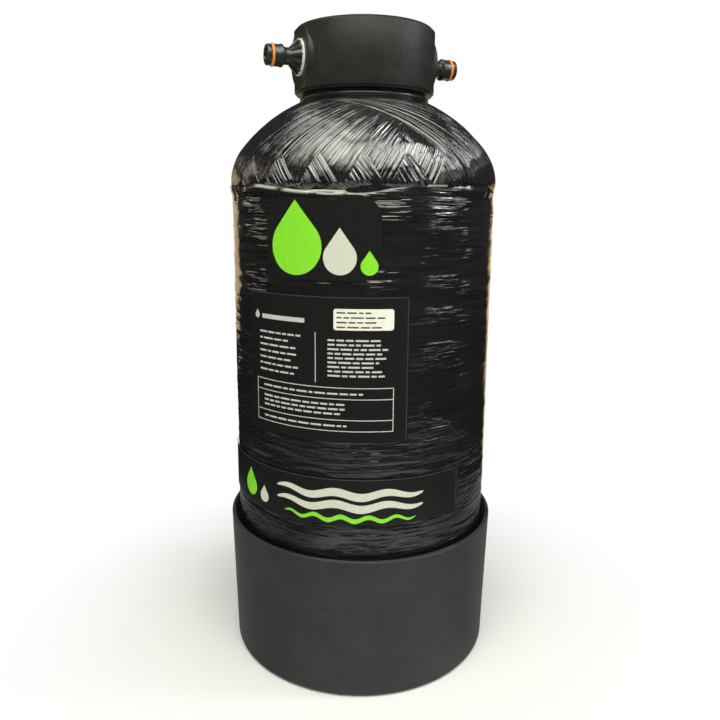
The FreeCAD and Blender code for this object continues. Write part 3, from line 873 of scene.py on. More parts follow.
class RingNoise:
    """Smooth random values over a height and round the axis, the same in every run."""

    ROWS = 2048

    def __init__(self, seed: int, pitch: float, cells: int) -> None:
        """Keep a table of random values.

        Args:
            seed: number that fixes the values.
            pitch: height of one value, in metres.
            cells: values round the axis.
        """
        self.pitch = pitch
        self.cells = cells
        self.table = np.random.default_rng(seed).random((self.ROWS, cells))

    def at(self, height: np.ndarray, angle: np.ndarray) -> np.ndarray:
        """Read the values at places on the shell.

        Args:
            height: heights, in metres.
            angle: angles round the axis, in radians.

        Returns:
            Values from 0 to 1, smooth between those of the table.
        """
        row = height / self.pitch
        column = angle / FULL_TURN * self.cells
        low_row = np.floor(row).astype(int)
        low_column = np.floor(column).astype(int)
        up = row - low_row
        side = column - low_column
        up = up * up * (3 - 2 * up)
        side = side * side * (3 - 2 * side)

        def read(rows: np.ndarray, columns: np.ndarray) -> np.ndarray:
            """Return table values, going round at the ends."""
            return self.table[rows % len(self.table), columns % self.cells]

        low = read(low_row, low_column) * (1 - side) + read(low_row, low_column + 1) * side
        high = (read(low_row + 1, low_column) * (1 - side)
                + read(low_row + 1, low_column + 1) * side)
        return low * (1 - up) + high * up


def raised(value: np.ndarray, ground: float = 0.45, sharpness: float = 1.4) -> np.ndarray:
    """Return only the part of a reading over its ground, as ridges on a flat."""
    return (np.clip(value - ground, 0.0, None) / (1 - ground)) ** sharpness


def step_between(value: np.ndarray, low: float, high: float) -> np.ndarray:
    """Return 0 below low, 1 above high and a smooth step between them."""
    share = np.clip((value - low) / (high - low), 0.0, 1.0)
    return share * share * (3 - 2 * share)


def rolled_grid(name: str, rows: int,
                steps: int) -> tuple[bpy.types.Object, np.ndarray, np.ndarray]:
    """Add a flat grid that is ready to be rolled round the axis.

    Args:
        name: name of the piece.
        rows: points along the line that is turned, less one.
        steps: faces round the axis.

    Returns:
        The piece, the row of each point and its angle round the axis.
    """
    deselect_all()
    bpy.ops.mesh.primitive_grid_add(x_subdivisions=steps, y_subdivisions=rows, size=2)
    piece = named(name)
    flat = positions(piece)
    row = np.rint((flat[:, 1] + 1) / 2 * rows).astype(int)
    column = np.rint((flat[:, 0] + 1) / 2 * steps)
    return piece, row, math.radians(SEAM_SIDE) + column / steps * FULL_TURN


def store(piece: bpy.types.Object, name: str, values: np.ndarray) -> None:
    """Store values on a piece's points for its finish to read.

    Args:
        piece: the piece.
        name: name of the stored values.
        values: a number or a vector for each point.
    """
    kind, key = ("FLOAT_VECTOR", "vector") if values.ndim > 1 else ("FLOAT", "value")
    layer = piece.data.attributes.new(name, kind, "POINT")
    layer.data.foreach_set(key, values.astype(np.float32).ravel())


def roll_up(piece: bpy.types.Object, radius: np.ndarray, height: np.ndarray,
            angle: np.ndarray) -> None:
    """Roll a grid's points round the axis, close its seam and smooth it.

    Args:
        piece: the grid.
        radius: distance of each point from the axis.
        height: height of each point.
        angle: angle of each point round the axis, in radians.
    """
    places = np.stack([radius * np.cos(angle), radius * np.sin(angle), height], axis=1)
    move_points(piece, places)
    weld(piece, SEAM_REACH)
    face_outwards(piece)
    smooth(piece, ROLLED_SMOOTH_LIMIT)


@dataclass(frozen=True)
class Ripple:
    """One set of ridges in the winding: seed, height and number round the axis, and depth."""

    seed: int
    pitch: float
    cells: int
    depth: float

    def at(self, height: np.ndarray, angle: np.ndarray) -> np.ndarray:
        """Return how far the ridges stand out at places on the shell, in metres."""
        return self.depth * raised(RingNoise(self.seed, self.pitch, self.cells).at(height, angle))


@dataclass
class HoopWinding:
    """The shell's side, wound round and round, with its bottom dome.

    The arcs are degrees round the axis. The dip's say where the last turn begins to run down,
    where it is lowest and where it is level again. Each arc of the bead has its start, its end
    and how much of the bead's full thickness it holds.
    """

    radius: float = 103.0 * MM
    wall: float = 2.5 * MM
    cup_line: float = 107.0 * MM
    bottom_knuckle: float = 45.0 * MM
    bottom_crown: float = 120.0 * MM
    bottom_rise: float = 8.0 * MM
    bottom_start: float = 0.02
    crown_points: int = 8
    knuckle_points: int = 7
    row_pitch: float = 0.79 * MM
    steps: int = 240
    full_depth: float = 0.72 * MM
    ripples: tuple[Ripple, ...] = (Ripple(3, 4.3 * MM, 8, 0.22 * MM),
                                   Ripple(5, 3.1 * MM, 24, 0.32 * MM),
                                   Ripple(7, 2.5 * MM, 58, 0.18 * MM))
    depth_least: float = 0.55
    depth_more: float = 0.9
    swell_start: float = 366.0 * MM
    swell_full: float = 372.0 * MM
    swell: float = 1.5 * MM
    swell_least: float = 0.75
    swell_more: float = 0.5
    end: float = 372.6 * MM
    end_zone: float = 14.0 * MM
    ledge_rows: int = 3
    ledge_inset: float = 2.2 * MM
    ledge_drop: float = 2.7 * MM
    ledge_roundness: float = 1.6
    gap_depth: float = 1.3 * MM
    gap_edge: Span = (0.78, 0.9)
    gap_raggedness: float = 0.35
    wander: float = 2.6 * MM
    dip: float = 6.0 * MM
    dip_arc: Triple = (186.0, 246.0, 268.0)
    bead: float = 0.6 * MM
    bead_taper: float = 3.0
    bead_tears: Span = (0.3, 0.6)
    bead_arcs: tuple[Triple, ...] = ((194.0, 243.0, 1.0), (271.0, 291.0, 0.6))

    def bottom_line(self, depth: float) -> np.ndarray:
        """Lay out the bottom dome.

        Args:
            depth: how deep the line lies under the dome's outside, in metres.

        Returns:
            Points as radius and height, from the lowest outwards.
        """
        reach = self.bottom_crown - self.bottom_knuckle
        inset = self.radius - self.bottom_knuckle
        centre = self.bottom_rise + self.bottom_crown
        seam = centre - math.sqrt(reach ** 2 - inset ** 2)
        joint = math.asin(inset / reach)
        crown = [(math.sin(turn) * (self.bottom_crown - depth),
                  centre - math.cos(turn) * (self.bottom_crown - depth))
                 for turn in np.linspace(self.bottom_start, joint, self.crown_points)]
        knuckle = [(inset + math.sin(turn) * (self.bottom_knuckle - depth),
                    seam - math.cos(turn) * (self.bottom_knuckle - depth))
                   for turn in np.linspace(joint, math.pi / 2, self.knuckle_points)[1:]]
        return np.array(crown + knuckle)

    def profile(self) -> tuple[np.ndarray, int, int]:
        """Lay out the closed line that is turned round the axis.

        Returns:
            Its points as radius and height, where the side starts and how many points it has.
        """
        bottom = self.bottom_line(0.0)
        count = int((self.end - self.cup_line) / self.row_pitch)
        side = np.stack([np.full(count, self.radius),
                         np.linspace(self.cup_line, self.end, count)], axis=1)
        ledge = [(self.radius, self.end)] * self.ledge_rows
        inside = [(self.radius - self.wall, height) for height in (self.end, self.cup_line)]
        line = np.concatenate([bottom, side, ledge, inside, self.bottom_line(self.wall)[::-1],
                               bottom[:1]])
        return line, len(bottom), count

    def ridges(self, height: np.ndarray, angle: np.ndarray) -> np.ndarray:
        """Work out how deep the winding lies under its full radius.

        Args:
            height: heights, in metres.
            angle: angles round the axis, in radians.

        Returns:
            Depths, in metres.
        """
        depth = self.full_depth
        for ripple in self.ripples:
            depth = depth - ripple.at(height, angle)
        rough = RingNoise(11, 40.0 * MM, 6).at(height, angle)
        return (self.depth_least + self.depth_more * rough) * depth

    def dip_share(self, angle: np.ndarray) -> np.ndarray:
        """Work out how far the last turn of the winding has run down.

        Args:
            angle: angles round the axis, in radians.

        Returns:
            Shares of the full dip, from 0 to 1.
        """
        turn = np.degrees(angle) % 360.0
        first, lowest, last = self.dip_arc
        return step_between(turn, first, lowest) * (1 - step_between(turn, lowest, last))

    def bead_share(self, height: np.ndarray, angle: np.ndarray) -> np.ndarray:
        """Work out where a raised bead runs along the ledge, with torn ends; the same share marks
        where a pale highlight is painted on it.

        Args:
            height: heights, in metres.
            angle: angles round the axis, in radians.

        Returns:
            1 on the bead and its painted highlight and 0 beside it.
        """
        turn = np.degrees(angle) % 360.0
        share = np.zeros_like(turn)
        for low, high, amount in self.bead_arcs:
            share += (amount * step_between(turn, low, low + self.bead_taper)
                      * (1 - step_between(turn, high - self.bead_taper, high)))
        torn = RingNoise(27, 1.2 * MM, 72).at(height, angle)
        return share * step_between(torn, *self.bead_tears)

    def gaps(self, height: np.ndarray, angle: np.ndarray) -> np.ndarray:
        """Work out where strands are missing at the end of the winding.

        Args:
            height: heights, in metres.
            angle: angles round the axis, in radians.

        Returns:
            1 in a gap and 0 beside it.
        """
        broad = RingNoise(25, 60.0 * MM, 17).at(height, angle)
        ragged = RingNoise(26, 50.0 * MM, 90).at(height, angle)
        return step_between(broad + self.gap_raggedness * ragged, *self.gap_edge)

    def build(self, palette: Palette) -> None:
        """Build the side and dress it.

        Args:
            palette: the vessel's finishes.
        """
        line, first, count = self.profile()
        piece, row, angle = rolled_grid("hoop_winding", len(line) - 1, self.steps)
        radius, height = line[row].T
        on_side = (row >= first) & (row < first + count + self.ledge_rows)
        ledge = row - (first + count) + 1
        on_ledge = (ledge > 0) & (ledge <= self.ledge_rows)
        share = np.where(on_ledge, ledge / self.ledge_rows, 0.0)
        wander = self.wander * (RingNoise(21, 50.0 * MM, 34).at(height, angle) - 0.5)
        lip = RingNoise(23, 50.0 * MM, 60).at(height, angle)
        swelled = self.swell * (self.swell_least + self.swell_more * lip)
        swelled = swelled * step_between(height, self.swell_start, self.swell_full)
        radius = radius + on_side * (swelled - self.ridges(height, angle))
        radius -= self.ledge_inset * share ** self.ledge_roundness
        height = height + self.ledge_drop * np.sqrt(share)
        near_end = on_side * step_between(height, self.end - self.end_zone, self.end)
        bead = on_ledge * self.bead_share(height, angle)
        radius += self.bead * bead
        radius -= self.gap_depth * self.gaps(height, angle) * near_end * (1 - bead)
        height = height + near_end * (wander - self.dip * self.dip_share(angle))
        # The bead's share is stored as the mask of the painted highlight along the ledge.
        store(piece, "painted_ledge_highlight", bead)
        roll_up(piece, radius, height, angle)
        place_piece(piece, Body.VESSEL, "wound_resin", palette.hoops.build(), "wound_shell")


@dataclass
class DomeWinding:
    """The top dome, covered by two crossing families of flat bands.

    It starts under the end of the hoops, and its bands and strands are counted from the height
    at which they leave them. Sectors are places round the axis, in bands.
    """

    shoulder_radius: float = 104.2 * MM
    shoulder_height: float = 374.85 * MM
    knuckle: float = 45.7 * MM
    crown: float = 120.4 * MM
    collar: float = 47.9 * MM
    wall: float = 2.4 * MM
    start: float = 366.0 * MM
    start_slope: float = 0.2
    start_inset: float = 2.4 * MM
    start_fade: float = 9.0 * MM
    counted_from: float = 372.4 * MM
    turning_right: float = 51.0 * MM
    turning_left: float = 57.0 * MM
    steepest: float = 0.985
    bands: int = 21
    strands: float = 26.0
    strand_length: float = 48 * MM
    row_pitch: float = 0.6 * MM
    inner_every: int = 12
    steps: int = 504
    arc_points: int = 400
    groove: float = 0.30 * MM
    groove_width: float = 0.10
    groove_least: float = 0.35
    neck_zone: Span = (52 * MM, 66 * MM)
    waviness: float = 0.25 * MM
    band_sink: float = 0.15 * MM
    sectors: tuple[Span, ...] = ((-4.16, -0.6), (2.2, 5.0), (6.6, 8.4))

    def line(self) -> np.ndarray:
        """Lay out the dome's outside, from the hoops to the collar.

        Returns:
            Evenly spaced points as radius, height and length along the line.
        """
        reach = self.crown - self.knuckle
        inset = self.shoulder_radius - self.knuckle
        joint = math.acos(inset / reach)
        turns = np.linspace(0, joint, self.arc_points)
        knuckle = np.stack([inset + self.knuckle * np.cos(turns),
                            self.shoulder_height + self.knuckle * np.sin(turns)], axis=1)
        centre = self.shoulder_height - math.sqrt(reach ** 2 - inset ** 2)
        last = math.acos(self.collar / self.crown)
        turns = np.linspace(joint, last, self.arc_points)[1:]
        crown = np.stack([self.crown * np.cos(turns), centre + self.crown * np.sin(turns)], axis=1)
        below = self.shoulder_height - self.start
        foot = np.array([[self.shoulder_radius - self.start_slope * below, self.start]])
        points = np.concatenate([foot, knuckle, crown])
        along = np.concatenate([[0], np.cumsum(np.linalg.norm(np.diff(points, axis=0), axis=1))])
        even = np.linspace(0, along[-1], int(along[-1] / self.row_pitch))
        return np.stack([np.interp(even, along, points[:, 0]),
                         np.interp(even, along, points[:, 1]), even], axis=1)

    def turning(self, line: np.ndarray, closest: float) -> np.ndarray:
        """Work out how far a strand has gone round the axis at each point of the line.

        Args:
            line: points of the dome's outside.
            closest: how near to the axis the strand comes, in metres.

        Returns:
            Angles in radians, counted from where the pattern starts.
        """
        slope = np.clip(closest / line[:, 0], 0, self.steepest)
        rate = slope / np.sqrt(1 - slope ** 2) / line[:, 0]
        lengths = np.diff(line[:, 2])
        turned = np.concatenate([[0], np.cumsum((rate[1:] + rate[:-1]) / 2 * lengths)])
        return turned - np.interp(self.counted_from, line[:, 1], turned)

    def top_family(self, right: np.ndarray, left: np.ndarray) -> np.ndarray:
        """Work out which family of strands lies on top.

        Args:
            right: places across the bands that rise to the right, in bands.
            left: places across the bands that rise to the left, in bands.

        Returns:
            1 where the strands that rise to the left lie on top, and 0 elsewhere.
        """
        cell = np.floor(left) - np.floor(right)
        on_top = cell < 1
        turn = np.mod(left, self.bands)
        for low, high in self.sectors:
            low, high = low % self.bands, high % self.bands
            inside = (turn > low) & (turn < high) if low < high else (turn > low) | (turn < high)
            on_top = on_top | (inside & (cell >= 1))
        return on_top.astype(float)

    def edge_groove(self, across: np.ndarray) -> np.ndarray:
        """Return how deep the surface lies beside a band's edges, from 0 to 1."""
        distance = np.abs(across - np.rint(across))
        return 1 - step_between(distance, 0.0, self.groove_width)

    def store_strands(self, piece: bpy.types.Object, right: np.ndarray, left: np.ndarray,
                      counted: np.ndarray) -> None:
        """Store where each point lies among the strands, for the finish to draw them.

        Args:
            piece: the dome.
            right: places across the bands that rise to the right, in bands.
            left: places across the bands that rise to the left, in bands.
            counted: length along the dome's line, in metres.
        """
        ring = self.bands * self.strands / FULL_TURN
        for family, across in ((Family.RISING_RIGHT, right), (Family.RISING_LEFT, left)):
            turn = across / (self.bands / FULL_TURN)
            store(piece, family.value,
                  np.stack([ring * np.cos(turn), ring * np.sin(turn),
                            counted / self.strand_length], axis=1))

    def build(self, palette: Palette) -> None:
        """Build the dome and dress it.

        Args:
            palette: the vessel's finishes.
        """
        line = self.line()
        slopes = np.gradient(line[:, :2], axis=0)
        normals = np.stack([slopes[:, 1], -slopes[:, 0]], axis=1)
        normals /= np.linalg.norm(normals, axis=1, keepdims=True)
        inner = (line[:, :2] - normals * self.wall)[::-self.inner_every]
        turned = np.concatenate([line[:, :2], inner, line[:1, :2]])
        piece, row, angle = rolled_grid("dome_winding", len(turned) - 1, self.steps)
        on_top = row < len(line)
        index = np.where(on_top, row, 0)
        along = line[index, 2]
        below = np.interp(self.counted_from, line[:, 1], line[:, 2])
        cells = self.bands / FULL_TURN
        right = (angle - self.turning(line, self.turning_right)[index]) * cells
        left = (angle + self.turning(line, self.turning_left)[index]) * cells
        family = self.top_family(right, left)
        across = np.where(family > 0.5, left, right)
        near_neck = step_between(line[index, 0], *self.neck_zone)
        lifts = np.random.default_rng(31).random(self.bands * 4)
        lift = lifts[np.floor(across).astype(int) % self.bands]
        grooves = self.groove * self.edge_groove(across)
        grooves = grooves * (self.groove_least + (1 - self.groove_least) * lift)
        waves = RingNoise(41, 9.0 * MM, 40)
        depth = near_neck * (grooves + self.band_sink * lift)
        depth += self.waviness * waves.at(along - below, angle)
        depth += self.start_inset * np.exp(-along / self.start_fade)
        at_start = (row == 0) | (row == len(turned) - 1)
        start_waves = waves.at(np.full_like(angle, -below), angle)
        depth = np.where(on_top, depth, 0.0)
        depth = np.where(at_start, self.start_inset + self.waviness * start_waves, depth)
        radius = turned[row, 0] - depth * normals[index, 0]
        height = turned[row, 1] - depth * normals[index, 1] * on_top
        self.store_strands(piece, right, left, along - below)
        store(piece, "top_family", family)
        roll_up(piece, radius, height, angle)
        place_piece(piece, Body.VESSEL, "wound_resin", palette.dome.build(), "wound_shell")


@dataclass
class NeckInsert:
    """The moulded neck, with its collar's edge and foot rounded."""

    edge: float = 0.5 * MM
    foot_radius: float = 47.8 * MM
    foot_height: float = 440.0 * MM
    foot_bead: float = 2.0 * MM
    bead_steps: int = 192
    bead_sides: int = 24

    def build(self, palette: Palette) -> None:
        """Build the neck, lay the bead round the collar's foot and dress it.

        Args:
            palette: the vessel's finishes.
        """
        neck = cad_copy("neck_insert", "neck_collar")
        soften_edges(neck, self.edge)
        deselect_all()
        bpy.ops.mesh.primitive_torus_add(major_segments=self.bead_steps,
                                         minor_segments=self.bead_sides,
                                         major_radius=self.foot_radius,
                                         minor_radius=self.foot_bead,
                                         location=(0, 0, self.foot_height))
        bead = settle(named("neck_bead"))
        select_only(neck, bead)
        bpy.ops.object.join()
        piece = named("neck_collar")
        smooth(piece)
        place_piece(piece, Body.VESSEL, "connector_plastic", palette.collar.build(),
                    "neck_insert")


# Head


@dataclass
class Head:
    """The screw-in head: its body and the thread on its spigot."""

    seat: float = 443.8 * MM
    crest: float = 36.15 * MM
    root: float = 34.9 * MM
    pitch: float = 3.175 * MM
    turns: int = 5
    thread_low: float = 426.2 * MM
    thread_steps: int = 96
    ridge_share: float = 0.42
    crest_share: float = 0.3
    ridge_sunk: float = 0.3 * MM
    slack: float = 0.1 * MM
    edge: float = 0.7 * MM

    def build_body(self, palette: Palette) -> None:
        """Build the head's body, with the spigot's wall set in to the thread's root.

        Args:
            palette: the vessel's finishes.
        """
        piece = cad_copy("head_body", "head_shell")
        places = positions(piece)
        reach = np.hypot(places[:, 0], places[:, 1])
        on_spigot = places[:, 2] < self.seat + self.slack
        wall = on_spigot & (np.abs(reach - self.crest) < self.slack)
        places[wall, :2] *= (self.root / reach[wall])[:, None]
        move_points(piece, places)
        soften_edges(piece, self.edge)
        place_piece(piece, Body.HEAD, "head_plastic", palette.head.build(), "head_body")

    def build_thread(self, palette: Palette) -> None:
        """Turn one ridge up the spigot and dress it.

        Args:
            palette: the vessel's finishes.
        """
        deselect_all()
        bpy.ops.mesh.primitive_circle_add(vertices=4, radius=self.pitch, location=(0, 0, 0))
        piece = named("head_thread")
        half = self.ridge_share * self.pitch
        inside = self.root - self.ridge_sunk
        corners = [(inside, -half), (self.crest, -half * self.crest_share),
                   (self.crest, half * self.crest_share), (inside, half)]
        places = np.array([(x, 0.0, z + self.thread_low) for x, z in corners])
        move_points(piece, places)
        screw = piece.modifiers.new("ridge", "SCREW")
        screw.axis = "Z"
        screw.angle = FULL_TURN
        screw.screw_offset = self.pitch
        screw.iterations = self.turns
        screw.steps = self.thread_steps
        screw.render_steps = self.thread_steps
        bpy.ops.object.modifier_apply(modifier=screw.name)
        edit_all(piece)
        bpy.ops.mesh.fill_holes(sides=len(corners))
        bpy.ops.object.mode_set(mode="OBJECT")
        face_outwards(piece)
        smooth(piece)
        place_piece(piece, Body.HEAD, "head_plastic", palette.head.build())

    def build(self, palette: Palette) -> None:
        """Build the head's pieces.

        Args:
            palette: the vessel's finishes.
        """
        self.build_body(palette)
        self.build_thread(palette)
        dress_node("riser_o_ring", palette.neck_seal.build())
        dress_node("top_strainer", palette.inner.build())


@dataclass
class HoseConnector:
    """A ribbed male hose spigot with its seals."""

    side: str
    edge: float = 0.3 * MM
    edge_limit: float = 28.0

    def build(self, palette: Palette) -> None:
        """Build the spigot and dress its seals.

        Args:
            palette: the vessel's finishes.
        """
        piece = cad_copy(self.side + "_connector", self.side + "_hose_spigot")
        soften_edges(piece, self.edge, self.edge_limit)
        place_piece(piece, Body.HEAD, "connector_plastic", palette.connector.build(),
                    self.side + "_connector")
        dress_node(self.side + "_thread_seal", palette.thread_seal.build())
        dress_node(self.side + "_connector_o_ring", palette.hose_seal.build())


# Cup and inner pieces


@dataclass
class Plainware:
    """Pieces whose CAD shape is already right."""

    def build(self, palette: Palette) -> None:
        """Dress them.

        Args:
            palette: the vessel's finishes.
        """
        dress_node("base_cup", palette.cup.build())
        dress_node("inner_liner", palette.liner.build())
        dress_node("resin_bed", palette.beads.build())
        dress_node("neck_o_ring", palette.neck_seal.build())
        white = palette.inner.build()
        for node in ("bottom_strainer_basket", "bottom_strainer_hub", "riser_tube"):
            dress_node(node, white)


# Labels


@dataclass(frozen=True)
class Strip:
    """A printed shape on a flat label, between a lower and an upper line."""

    across: np.ndarray
    low: np.ndarray
    high: np.ndarray


BAR_SLICE = 4 * MM
BAR_GAP = 1.3 * MM
SHORTEST_BAR = 2 * MM
BAR_LENGTHS_IN_MM = (3.0, 9.0)
ROW_FILL = (0.72, 1.0)
DROP_STEPS = 33
WAVE_STEPS = 90
WAVE_TAPER = 0.4


def bar(left: float, bottom: float, length: float, height: float) -> Strip:
    """Return a plain bar, sliced so that it can bend."""
    across = np.linspace(left, left + length, 2 + int(length / BAR_SLICE))
    return Strip(across, np.full_like(across, bottom), np.full_like(across, bottom + height))


def drop(middle: float, centre: float, radius: float, tip: float) -> Strip:
    """Draw a water drop: a round foot that narrows to a tip above it.

    Args:
        middle: the drop's middle across the label.
        centre: height of the round foot's centre.
        radius: radius of the foot.
        tip: how far the tip stands over the centre.

    Returns:
        The drop.
    """
    offset = -radius * np.cos(np.linspace(0, math.pi, DROP_STEPS))
    round_half = np.sqrt(np.clip(radius ** 2 - offset ** 2, 0, None))
    touch = math.asin(radius / tip)
    cone = tip - np.abs(offset) * (tip - radius * math.sin(touch)) / (radius * math.cos(touch))
    high = np.where(np.abs(offset) < radius * math.cos(touch), cone, round_half)
    return Strip(middle + offset, centre - round_half, centre + high)


def wave(left: float, right: float, centre: float, thickness: float, swing: float,
         length: float) -> Strip:
    """Draw a wavy band that tapers at both ends.

    Args:
        left: where the band starts.
        right: where it ends.
        centre: its middle height.
        thickness: its greatest thickness.
        swing: how far it swings up and down.
        length: length of one wave.

    Returns:
        The band.
    """
    across = np.linspace(left, right, WAVE_STEPS)
    share = np.sin(np.linspace(0, math.pi, WAVE_STEPS)) ** WAVE_TAPER
    line = centre + swing * np.sin((across - left) / length * FULL_TURN)
    return Strip(across, line - share * thickness / 2, line + share * thickness / 2)


def ruled_box(left: float, right: float, heights: list[float], rule: float) -> list[Strip]:
    """Draw a box with rules across it.

    Args:
        left: the box's left edge.
        right: its right edge.
        heights: height of each rule, with the box's foot and top.
        rule: thickness of a rule.

    Returns:
        The rules and the box's sides.
    """
    low, high = min(heights), max(heights)
    lines = [bar(left, height, right - left, rule) for height in heights]
    sides = [bar(edge, low, rule, high - low) for edge in (left, right - rule)]
    return lines + sides


def rows_of_bars(seed: int, left: float, width: float, tops: list[float],
                 height: float) -> list[Strip]:
    """Draw rows of short bars of uneven length.

    Args:
        seed: number that fixes the lengths.
        left: where the rows start.
        width: the longest row.
        tops: height of each row.
        height: height of a bar.

    Returns:
        The bars.
    """
    chance = np.random.default_rng(seed)
    strips = []
    for top in tops:
        place = left
        end = left + width * chance.uniform(*ROW_FILL)
        while place < end - SHORTEST_BAR:
            length = min(chance.uniform(*BAR_LENGTHS_IN_MM) * MM, end - place)
            strips.append(bar(place, top, length, height))
            place += length + BAR_GAP
    return strips


@dataclass(frozen=True)
class Print:
    """Ink of one colour on one label, also used for painted highlights along the labels' cut edges.
    """

    name: str
    azimuth: float
    radius: float
    strips: list[Strip]
    slot: str = "label_film"
    thickness: float = 0.03 * MM

    def build(self, material: bpy.types.Material) -> None:
        """Shape the strips, roll them round the shell and thicken them.

        Args:
            material: the finish of the ink, which for the edge strips is a painted highlight.
        """
        sheets = []
        for strip in self.strips:
            count = len(strip.across)
            deselect_all()
            bpy.ops.mesh.primitive_grid_add(x_subdivisions=count - 1, y_subdivisions=1, size=2)
            sheet = named(self.name)
            flat = positions(sheet)
            column = np.rint((flat[:, 0] + 1) / 2 * (count - 1)).astype(int)
            height = np.where(flat[:, 1] < 0, strip.low[column], strip.high[column])
            move_points(sheet, np.stack([strip.across[column], height * 0, height], axis=1))
            sheets.append(sheet)
        select_only(*sheets)
        bpy.ops.object.join()
        piece = named(self.name)
        flat = positions(piece)
        angle = math.radians(self.azimuth) + flat[:, 0] / self.radius
        move_points(piece, np.stack([self.radius * np.cos(angle), self.radius * np.sin(angle),
                                     flat[:, 2]], axis=1))
        weld(piece)
        # The layer thickens the ink, and the painted edge highlights the same way.
        film = piece.modifiers.new("ink", "SOLIDIFY")
        film.thickness = self.thickness
        film.offset = -1.0
        bpy.ops.object.modifier_apply(modifier=film.name)
        face_outwards(piece)
        place_piece(piece, Body.VESSEL, self.slot, material)


@dataclass
class Labels:
    """The films on the shell, the plain motifs printed on them and the highlights painted along their
    cut edges.
    """

    film_radius: float = 103.44 * MM
    sticker_radius: float = 103.84 * MM
    emblem_azimuth: float = -128.4
    data_azimuth: float = -128.6
    sticker_azimuth: float = -111.5
    band_azimuth: float = -132.1
    rule: float = 0.6 * MM
    row: float = 1.3 * MM
    sticker_row: float = 1.1 * MM
    # Width of the painted highlight along the films' cut edges.
    edge_highlight_width: float = 0.35 * MM

    def emblem(self) -> tuple[list[Strip], list[Strip]]:
        """Draw the emblem.

        Returns:
            Its green and its pale drops.
        """
        green = [drop(-18.0 * MM, 333.5 * MM, 19.5 * MM, 31.0 * MM),
                 drop(34.0 * MM, 321.0 * MM, 6.0 * MM, 10.5 * MM)]
        pale = [drop(14.0 * MM, 326.5 * MM, 11.5 * MM, 20.0 * MM)]
        return green, pale

    def data(self) -> list[Strip]:
        """Draw the data label.

        Returns:
            The ruled box, the divider, the heading and the rows of bars.
        """
        strips = ruled_box(-55.8 * MM, 52.3 * MM, [206.0 * MM, 214.0 * MM, 229.0 * MM, 237.0 * MM],
                           self.rule)
        strips.append(bar(-3.2 * MM, 240.4 * MM, self.rule, 35.2 * MM))
        strips += [drop(-54.5 * MM, 283.5 * MM, 2.4 * MM, 4.2 * MM),
                   bar(-49.0 * MM, 281.6 * MM, 38.0 * MM, 3.2 * MM)]
        strips += rows_of_bars(5, -52.0 * MM, 40.0 * MM,
                               [(271.5 - 4.6 * step) * MM for step in range(7)], self.row)
        strips += rows_of_bars(6, 6.0 * MM, 42.0 * MM,
                               [(270.0 - 3.1 * step) * MM for step in range(9)], self.row)
        strips += rows_of_bars(7, -48.0 * MM, 88.0 * MM, [232.4 * MM], self.row)
        strips += rows_of_bars(8, -48.0 * MM, 84.0 * MM,
                               [(224.8 - 3.4 * step) * MM for step in range(3)], self.row)
        strips += rows_of_bars(9, -48.0 * MM, 70.0 * MM, [209.4 * MM], self.row)
        return strips

    def sticker(self) -> list[Strip]:
        """Return the rows of bars on the cream sticker."""
        return rows_of_bars(11, -18.6 * MM, 34.0 * MM,
                            [(289.2 - 3.3 * step) * MM for step in range(4)],
                            self.sticker_row)

    def edges(self) -> tuple[list[Strip], list[Strip]]:
        """Draw painted highlights along the films' top and right cut edges, where they catch the
        light.

        Returns:
            The painted edge highlights of the data label and those of the band.
        """
        data = [bar(-61.0 * MM, 299.8 * MM, 122.0 * MM, self.edge_highlight_width),
                bar(61.6 * MM, 199.5 * MM, self.edge_highlight_width, 99.5 * MM)]
        band = [bar(-113.0 * MM, 170.2 * MM, 226.0 * MM, self.edge_highlight_width),
                bar(114.2 * MM, 137.5 * MM, self.edge_highlight_width, 32.0 * MM)]
        return data, band

    def band(self) -> tuple[list[Strip], list[Strip]]:
        """Draw the band.

        Returns:
            Its green and its pale motifs.
        """
        green = [drop(-62.0 * MM, 149.5 * MM, 8.2 * MM, 14.0 * MM),
                 wave(-23.0 * MM, 77.0 * MM, 141.0 * MM, 3.6 * MM, 1.6 * MM, 20.0 * MM)]
        pale = [drop(-44.0 * MM, 145.8 * MM, 4.8 * MM, 8.4 * MM),
                *(wave(-30.0 * MM, 83.0 * MM, middle * MM, 6.2 * MM, 1.8 * MM, 38.0 * MM)
                  for middle in (159.3, 150.3))]
        return green, pale

    def build(self, palette: Palette) -> None:
        """Dress the films, print on them and paint highlights along their cut edges.

        Args:
            palette: the vessel's finishes.
        """
        film = palette.film.build()
        for node in ("emblem_label", "data_label", "band_label"):
            dress_node(node, film)
        dress_node("data_sticker", palette.paper.build())
        green, pale = palette.green.build(), palette.pale.build()
        for name, azimuth, inks in (("emblem", self.emblem_azimuth, self.emblem()),
                                    ("band", self.band_azimuth, self.band())):
            Print(name + "_green_motifs", azimuth, self.film_radius, inks[0]).build(green)
            Print(name + "_pale_motifs", azimuth, self.film_radius, inks[1]).build(pale)
        Print("data_rules_and_bars", self.data_azimuth, self.film_radius,
              self.data()).build(palette.white.build())
        grey = palette.grey.build()
        Print("sticker_bars", self.sticker_azimuth, self.sticker_radius, self.sticker(),
              "sticker_film").build(grey)
        # Painted highlights: thin grey strips along the films' top and right cut edges, where they
        # catch the light.
        for name, azimuth, strips in zip(("data_film_edge_highlights", "band_film_edge_highlights"),
                                         (self.data_azimuth, self.band_azimuth), self.edges()):
            Print(name, azimuth, self.film_radius, strips).build(grey)


# Studio


